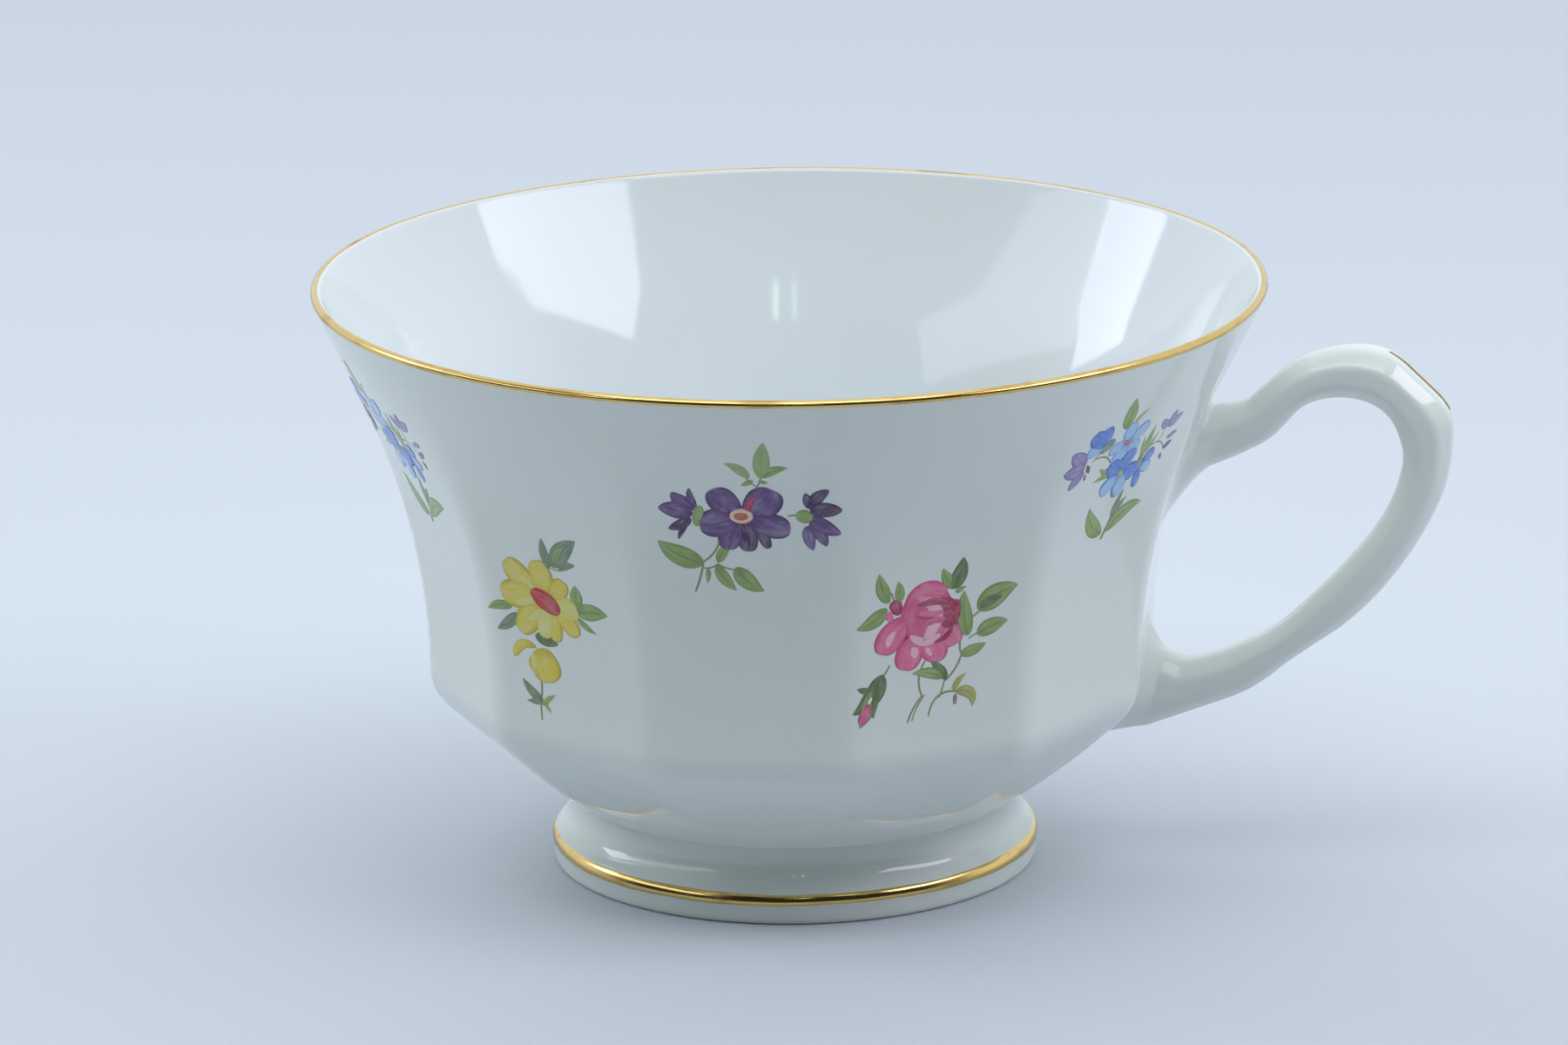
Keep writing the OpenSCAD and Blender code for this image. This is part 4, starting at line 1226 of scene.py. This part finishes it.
BLUE = [
    ("stem", "stem", "stem_dark", [
        (0, 0.32, 0.14, -8.0, 53.6, -4.7, 52.5), (0, 0.26, 0.0, -8.2, 53.3, -7.4, 54.4),
        (0, 0.3, 0.12, 2.1, 52.7, 4.6, 52.7), (0, 0.26, 0.1, 4.5, 52.7, 5.9, 51.4),
        (0, 0.24, 0.0, 4.0, 54.4, 3.8, 53.1), (0, 0.5, -0.04, -0.8, 42.4, 0.7, 48.0),
    ]),
    ("stem", "leaf_grey", "stem_dark", [(0, 0.4, 0.05, -0.5, 42.5, 1.7, 46.4)]),
    ("leaf", "leaf", "leaf_dark", [(1, 2.1, 0.02, -4.6, 56.5, -5.4, 60.3)]),
    ("blade", "leaf_pale", "leaf", [(1, 0.55, 0.1, -3.7, 56.9, -1.8, 58.3)]),
    ("blade", "leaf", "leaf_grey", [
        (1, 1.25, 0.02, 1.6, 51.4, 1.3, 55.8), (1, 0.6, 0.0, 1.9, 52.0, 2.8, 54.6),
    ]),
    ("blade", "leaf_pale", "leaf_grey", [(1, 0.7, 0.0, 1.4, 51.8, 0.0, 54.6)]),
    ("blade", "leaf", "leaf_dark", [
        (1, 0.8, 0.06, -3.6, 51.0, -6.2, 52.1), (1, 0.8, -0.06, -3.6, 50.8, -6.4, 50.4),
    ]),
    ("leaf", "leaf", "leaf_dark", [
        (1, 2.1, 0.12, -0.9, 43.3, -4.9, 47.2), (2, 2.1, 0.12, -0.2, 43.3, 5.5, 45.5),
    ]),
    ("blade", "leaf_grey", "stem_dark", [
        (1, 1.2, 0.0, 0.1, 44.8, 0.6, 48.2), (1, 0.7, 0.05, 0.3, 45.4, 2.0, 47.0),
    ]),
    ("spot", "leaf_grey", "leaf_dark", [(1, 1.6, 0.0, -7.7, 54.4, -5.7, 55.4)]),
    ("petal", "blue", "blue_deep", [
        (2, 1.8, 0.0, -7.2, 55.0, -8.0, 57.4), (3, 1.9, 0.0, -7.3, 55.0, -9.8, 56.8),
    ]),
    ("petal", "blue_pale", "blue", [(2, 1.5, 0.0, -7.3, 54.9, -9.7, 54.6)]),
    ("spot", "leaf_grey", "leaf_dark", [(1, 1.1, 0.0, 1.1, 52.0, 2.3, 49.8)]),
    ("petal", "blue", "blue_deep", [(2, 1.7, 0.0, 2.1, 50.8, 3.8, 52.1)]),
    ("petal", "blue_pale", "blue_deep", [(3, 1.4, 0.0, 2.1, 50.5, 4.2, 50.0)]),
    ("petal", "blue", "blue_deep", [(2, 1.4, 0.0, 1.9, 50.4, 2.7, 47.9)]),
    ("bell", "mauve", "mauve_deep", [
        (2, 1.8, 0.0, -9.2, 53.2, -11.9, 55.0), (3, 1.8, 0.0, -9.1, 52.8, -12.0, 52.6),
        (2, 1.5, 0.0, -9.0, 52.5, -10.4, 50.5),
    ]),
    ("dab", "ink", "ink", [
        (4, 0.35, 0.0, -8.8, 53.2, -8.3, 52.1), (4, 0.3, 0.0, -8.4, 53.0, -8.0, 52.0),
        (4, 0.35, 0.0, -8.5, 52.0, -8.2, 51.2),
    ]),
    ("bell", "mauve", "mauve_deep", [
        (2, 1.1, 0.05, 4.3, 54.7, 2.6, 55.8), (3, 1.2, 0.0, 4.5, 54.6, 4.9, 56.5),
        (2, 1.2, -0.05, 4.5, 54.7, 6.7, 55.8),
    ]),
    ("bell", "mauve", "ink", [(2, 0.7, 0.0, 5.5, 53.0, 7.4, 53.4)]),
    ("bell", "mauve_deep", "ink", [
        (2, 0.8, 0.0, 5.7, 51.7, 7.1, 52.3), (2, 0.5, 0.0, 5.6, 51.1, 6.2, 50.3),
    ]),
    ("petal", "blue_pale", "blue", [(2, 1.9, 0.0, -3.3, 54.5, -3.8, 57.1)]),
    ("petal", "blue_pale", "blue_deep", [(3, 1.8, 0.0, -3.1, 54.5, -0.4, 56.3)]),
    ("petal", "blue_pale", "blue", [
        (2, 1.7, 0.0, -3.1, 54.4, -0.6, 53.4), (3, 2.0, 0.0, -3.2, 54.3, -4.0, 51.9),
        (2, 1.5, 0.0, -3.4, 54.5, -5.9, 54.0),
    ]),
    ("spot", "orange", "brown", [(4, 0.9, 0.0, -3.9, 54.9, -2.7, 54.3)]),
    ("petal", "blue", "blue_deep", [
        (5, 2.2, 0.0, -1.7, 50.7, -1.1, 53.5), (6, 2.2, 0.0, -1.8, 50.7, -4.5, 52.2),
    ]),
    ("petal", "blue_pale", "blue_deep", [
        (5, 2.1, 0.0, -1.8, 50.5, -4.1, 48.6), (6, 2.1, 0.0, -1.6, 50.5, -0.3, 47.6),
    ]),
    ("petal", "blue", "blue_deep", [(5, 2.1, 0.0, -1.6, 50.7, 1.6, 50.1)]),
    ("spot", "leaf_gold", "brown", [(7, 0.9, 0.0, -2.3, 50.8, -1.2, 50.4)]),
]

# Each spray: its node, its slot, its strokes and its side in degrees from +X
SPRAYS = [
    ("violet_spray_front", "violet_enamel", VIOLET, -90),
    ("rose_spray_front_right", "rose_enamel", ROSE, -60),
    ("blue_spray_right", "blue_enamel", BLUE, -30),
    ("violet_spray_back_right", "violet_enamel", VIOLET, 30),
    ("rose_spray_back_right", "rose_enamel", ROSE, 60),
    ("blue_spray_back", "blue_enamel", BLUE, 90),
    ("yellow_spray_back_left", "yellow_enamel", YELLOW, 120),
    ("violet_spray_back_left", "violet_enamel", VIOLET, 150),
    ("rose_spray_left", "rose_enamel", ROSE, 180),
    ("blue_spray_front_left", "blue_enamel", BLUE, 210),
    ("yellow_spray_front_left", "yellow_enamel", YELLOW, 240),
]


def stroke_shell(look, kind, layer, width, bend, root, tip):
    """A thin closed shell for one brush stroke, and each point's place across and along it."""
    (rise, fall), _, fullness = BRUSHES[kind]
    rows, columns = (16, 9) if kind != "stem" else (14, 5)
    root, tip = np.array(root) * MM, np.array(tip) * MM
    run = tip - root
    aside = np.array([-run[1], run[0]])
    middle = (root + tip) / 2 + aside * bend * 2
    peak = (rise / (rise + fall)) ** rise * (fall / (rise + fall)) ** fall
    base = look.enamel_layer * layer + 0.004 * MM
    rings, places = [], []
    for t in (1 - np.cos(np.linspace(0, math.pi, rows + 2)[1:-1])) / 2:
        spot = (1 - t) ** 2 * root + 2 * t * (1 - t) * middle + t * t * tip
        way = 2 * (1 - t) * (middle - root) + 2 * t * (tip - middle)
        normal = np.array([-way[1], way[0]]) / np.hypot(*way)
        half = fullness * width * MM / 2 * t ** rise * (1 - t) ** fall / peak
        ring = []
        for c in np.linspace(-1, 1, columns):
            crown = base + look.enamel_lift * math.sqrt(max(1 - c * c, 0)) * min(1, half / (0.3 * MM))
            place = spot + normal * half * c
            ring.append((-SUNK if abs(c) == 1 else crown, *place))
            places.append((c, t))
        rings.append(ring)
    ends = [(-SUNK, *root), (-SUNK, *tip)]
    points, faces = skin(rings, *ends)
    places += [(0.0, 0.0), (0.0, 1.0)]
    return points, outwards(points, faces), places


class TEACUP_OT_sprays(Operator):
    """Paint the flower sprays stroke by stroke and lay each on its side of the bowl"""
    bl_idname = "teacup.sprays"
    bl_label = "Enamel sprays"

    def execute(self, context):
        bowl = bpy.data.objects.get("bowl_porcelain")
        if bowl is None:
            raise RuntimeError("make the bowl before its sprays")
        look = context.scene.teacup_finish
        for node, slot_name, strokes, side in SPRAYS:
            spray = self.paint(look, node + "_enamel", strokes)
            apply_tree(spray, lay_tree(), {"Bowl": bowl, "Side": math.radians(side), "Material": enamel()})
            finish_piece(spray, enamel(), node, slot_name)
        return {"FINISHED"}

    @staticmethod
    def paint(look, name, strokes):
        """One spray, with each point's stroke, brush and two paints kept on it."""
        shells, stroke, brush, body, rim = [], [], [], [], []
        rows = [(*dip, *row) for *dip, group in strokes for row in group]
        for number, (kind, body_paint, edge_paint, layer, width, bend, *path) in enumerate(rows):
            points, faces, places = stroke_shell(look, kind, layer, width, bend, path[:2], path[2:])
            shells.append((points, faces))
            seed = (number * STROKE_SHIFT) % 1
            stroke += [(c, t, seed) for c, t in places]
            brush += [BRUSHES[kind][1]] * len(places)
            body += [fired(*PAINTS[body_paint])] * len(places)
            rim += [fired(*PAINTS[edge_paint])] * len(places)
        points, faces = join(shells)
        spray = make_object(name, points, faces, 60)
        store(spray, "stroke", "FLOAT_VECTOR", stroke)
        store(spray, "brush", "FLOAT_VECTOR", brush)
        store(spray, "body_paint", "FLOAT_COLOR", body)
        store(spray, "edge_paint", "FLOAT_COLOR", rim)
        return spray


# ---------------------------------------------------------------- the stage

# Each light: name, azimuth and elevation in degrees, distance, width and height in metres, radiance, tint
LIGHTS = [
    ("right_window", -10, 38.5, 0.9, 0.58, 0.24, 5.3, (0.88, 0.88, 1.0)),
    ("left_window", 169.5, 24, 0.9, 0.28, 0.23, 5.2, (0.82, 0.86, 1.0)),
    ("fill_card", -154, 29.5, 0.9, 0.8, 0.22, 1.8, (0.9, 0.95, 1.0)),
    ("ceiling", 90, 89.9, 1.4, 1.6, 1.6, 0.35, (0.9, 0.92, 1.0)),
    ("front_soft_box", -90, 68, 1.6, 1.8, 0.8, 2.3, (0.93, 1.0, 1.0)),
    ("ceiling_tube", -78.5, 39, 1.4, 0.03, 0.16, 7.5, (0.6, 1.0, 0.66)),
    ("second_ceiling_tube", -84.5, 39, 1.4, 0.024, 0.16, 5.5, (0.6, 1.0, 0.66)),
]


class TEACUP_OT_stage(Operator):
    """Make the floor, the soft window light and the camera"""
    bl_idname = "teacup.stage"
    bl_label = "Stage"

    def execute(self, context):
        s = context.scene.teacup_stage
        self.floor(s)
        for lamp in LIGHTS:
            self.light(*lamp)
        world = bpy.data.worlds.new("room")
        world.use_nodes = True
        g = Graph(world.node_tree)
        x, y, z = g.split(g.node("ShaderNodeTexCoord"))
        tint = g.blend(y.step(-0.35, 0.35), solid(s.room_colour), solid(s.back_colour))
        world.node_tree.links.new(tint.socket, world.node_tree.nodes["Background"].inputs["Color"])
        context.scene.world = world
        context.scene.view_settings.view_transform = "Standard"
        self.camera(s)
        return {"FINISHED"}

    @staticmethod
    def floor(s):
        """A sheet of pale paper under the cup, with painted shade that darkens it towards the camera."""
        def build(g):
            place = g.node("ShaderNodeTexCoord", None, None, "Object")
            grain = g.noise(place, 900.0, 3.0, 0.6)
            cloud = g.noise(place, 3.0, 2.0)
            x, y, z = g.split(place)
            tint = g.blend((grain * 0.5 + cloud * 0.5).step(0.3, 0.7) * 0.06, solid(s.floor_colour),
                           fired(190, 198, 210))
            # Painted shade: the paper darkens towards the camera, standing in for the fading light and the cup's
            # shadow in front.
            near = (x * 0.3 - y).step(-0.1, 0.2)
            tint = g.blend(near, tint, fired(188, 192, 201))
            bump = g.node("ShaderNodeBump", None, {"Strength": 0.08, "Distance": 0.0001, "Height": grain})
            return {"Base Color": tint, "Roughness": 0.7, "Specular IOR Level": 0.3, "Normal": bump}

        reach, bottom = 3.0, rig.bounds()[0][2]
        corners = ((-reach, -reach), (reach, -reach), (reach, reach), (-reach, reach))
        points = [(x, y, bottom) for x, y in corners]
        mesh = bpy.data.meshes.new("floor")
        mesh.from_pydata(points, [], [(0, 1, 2, 3)])
        floor = bpy.data.objects.new("floor", mesh)
        bpy.context.scene.collection.objects.link(floor)
        mesh.materials.append(material("pale paper", build))
        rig.stage(floor)

    @staticmethod
    def light(name, azimuth, elevation, distance, width, height, radiance, tint):
        """A soft rectangular light that faces the cup. Its power gives the wanted radiance."""
        data = bpy.data.lights.new(name, "AREA")
        data.shape = "RECTANGLE"
        data.size, data.size_y = width, height
        data.energy = radiance * math.pi * width * height
        data.color = tint
        lamp = bpy.data.objects.new(name, data)
        a, e = math.radians(azimuth), math.radians(elevation)
        way = Vector((math.cos(e) * math.cos(a), math.cos(e) * math.sin(a), math.sin(e)))
        cup_middle = Vector((0, 0, 0.05))
        lamp.location = cup_middle + way * distance
        lamp.rotation_euler = way.to_track_quat("Z", "Y").to_euler()
        bpy.context.scene.collection.objects.link(lamp)

    @staticmethod
    def camera(s):
        """The camera, turned by its sideways and upward directions."""
        right = Vector((0.992539, 0.121396, -0.011145))
        up = Vector((-0.022620, 0.273229, 0.961683))
        back = right.cross(up)
        data = bpy.data.cameras.new("camera")
        data.lens = s.lens
        data.sensor_width = 36.0
        data.clip_end = 20.0
        camera = bpy.data.objects.new("camera", data)
        turn = Matrix((right, up, back)).transposed()
        camera.rotation_euler = turn.to_euler()
        camera.location = s.camera_place
        bpy.context.scene.collection.objects.link(camera)
        bpy.context.scene.camera = camera


# ---------------------------------------------------------------- the panel

class TEACUP_PT_sidebar(Panel):
    """The teacup's pieces, in the order in which they are made"""
    bl_idname = "TEACUP_PT_sidebar"
    bl_label = "Gilt teacup"
    bl_space_type = "VIEW_3D"
    bl_region_type = "UI"
    bl_category = "Teacup"

    def draw(self, context):
        for group in SETTINGS:
            box = self.layout.box()
            box.label(text=group.split("_")[1].capitalize())
            settings = getattr(context.scene, group)
            for name in settings.__annotations__:
                box.prop(settings, name)
        for operator in OPERATORS:
            self.layout.operator(operator.bl_idname)


OPERATORS = (TEACUP_OT_stage, TEACUP_OT_bowl, TEACUP_OT_foot, TEACUP_OT_handle, TEACUP_OT_gilding,
             TEACUP_OT_sprays)


def register():
    for group in SETTINGS.values():
        bpy.utils.register_class(group)
    for name, group in SETTINGS.items():
        setattr(bpy.types.Scene, name, PointerProperty(type=group))
    for part in (*OPERATORS, TEACUP_PT_sidebar):
        bpy.utils.register_class(part)


def unregister():
    for part in (TEACUP_PT_sidebar, *reversed(OPERATORS)):
        bpy.utils.unregister_class(part)
    for name, group in SETTINGS.items():
        delattr(bpy.types.Scene, name)
        bpy.utils.unregister_class(group)


def plain(box):
    """A box as plain lists of numbers."""
    return [[float(value) for value in corner] for corner in box]


def main():
    register()
    bpy.ops.teacup.stage()
    bpy.ops.teacup.bowl()
    bpy.ops.teacup.foot()
    bpy.ops.teacup.handle()
    bpy.ops.teacup.gilding()
    bpy.ops.teacup.sprays()
    with open("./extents.json", "w") as out:
        json.dump({"cad": plain(CAD_BOX), "visual": plain(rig.bounds())}, out)


if __name__ == "__main__":
    main()
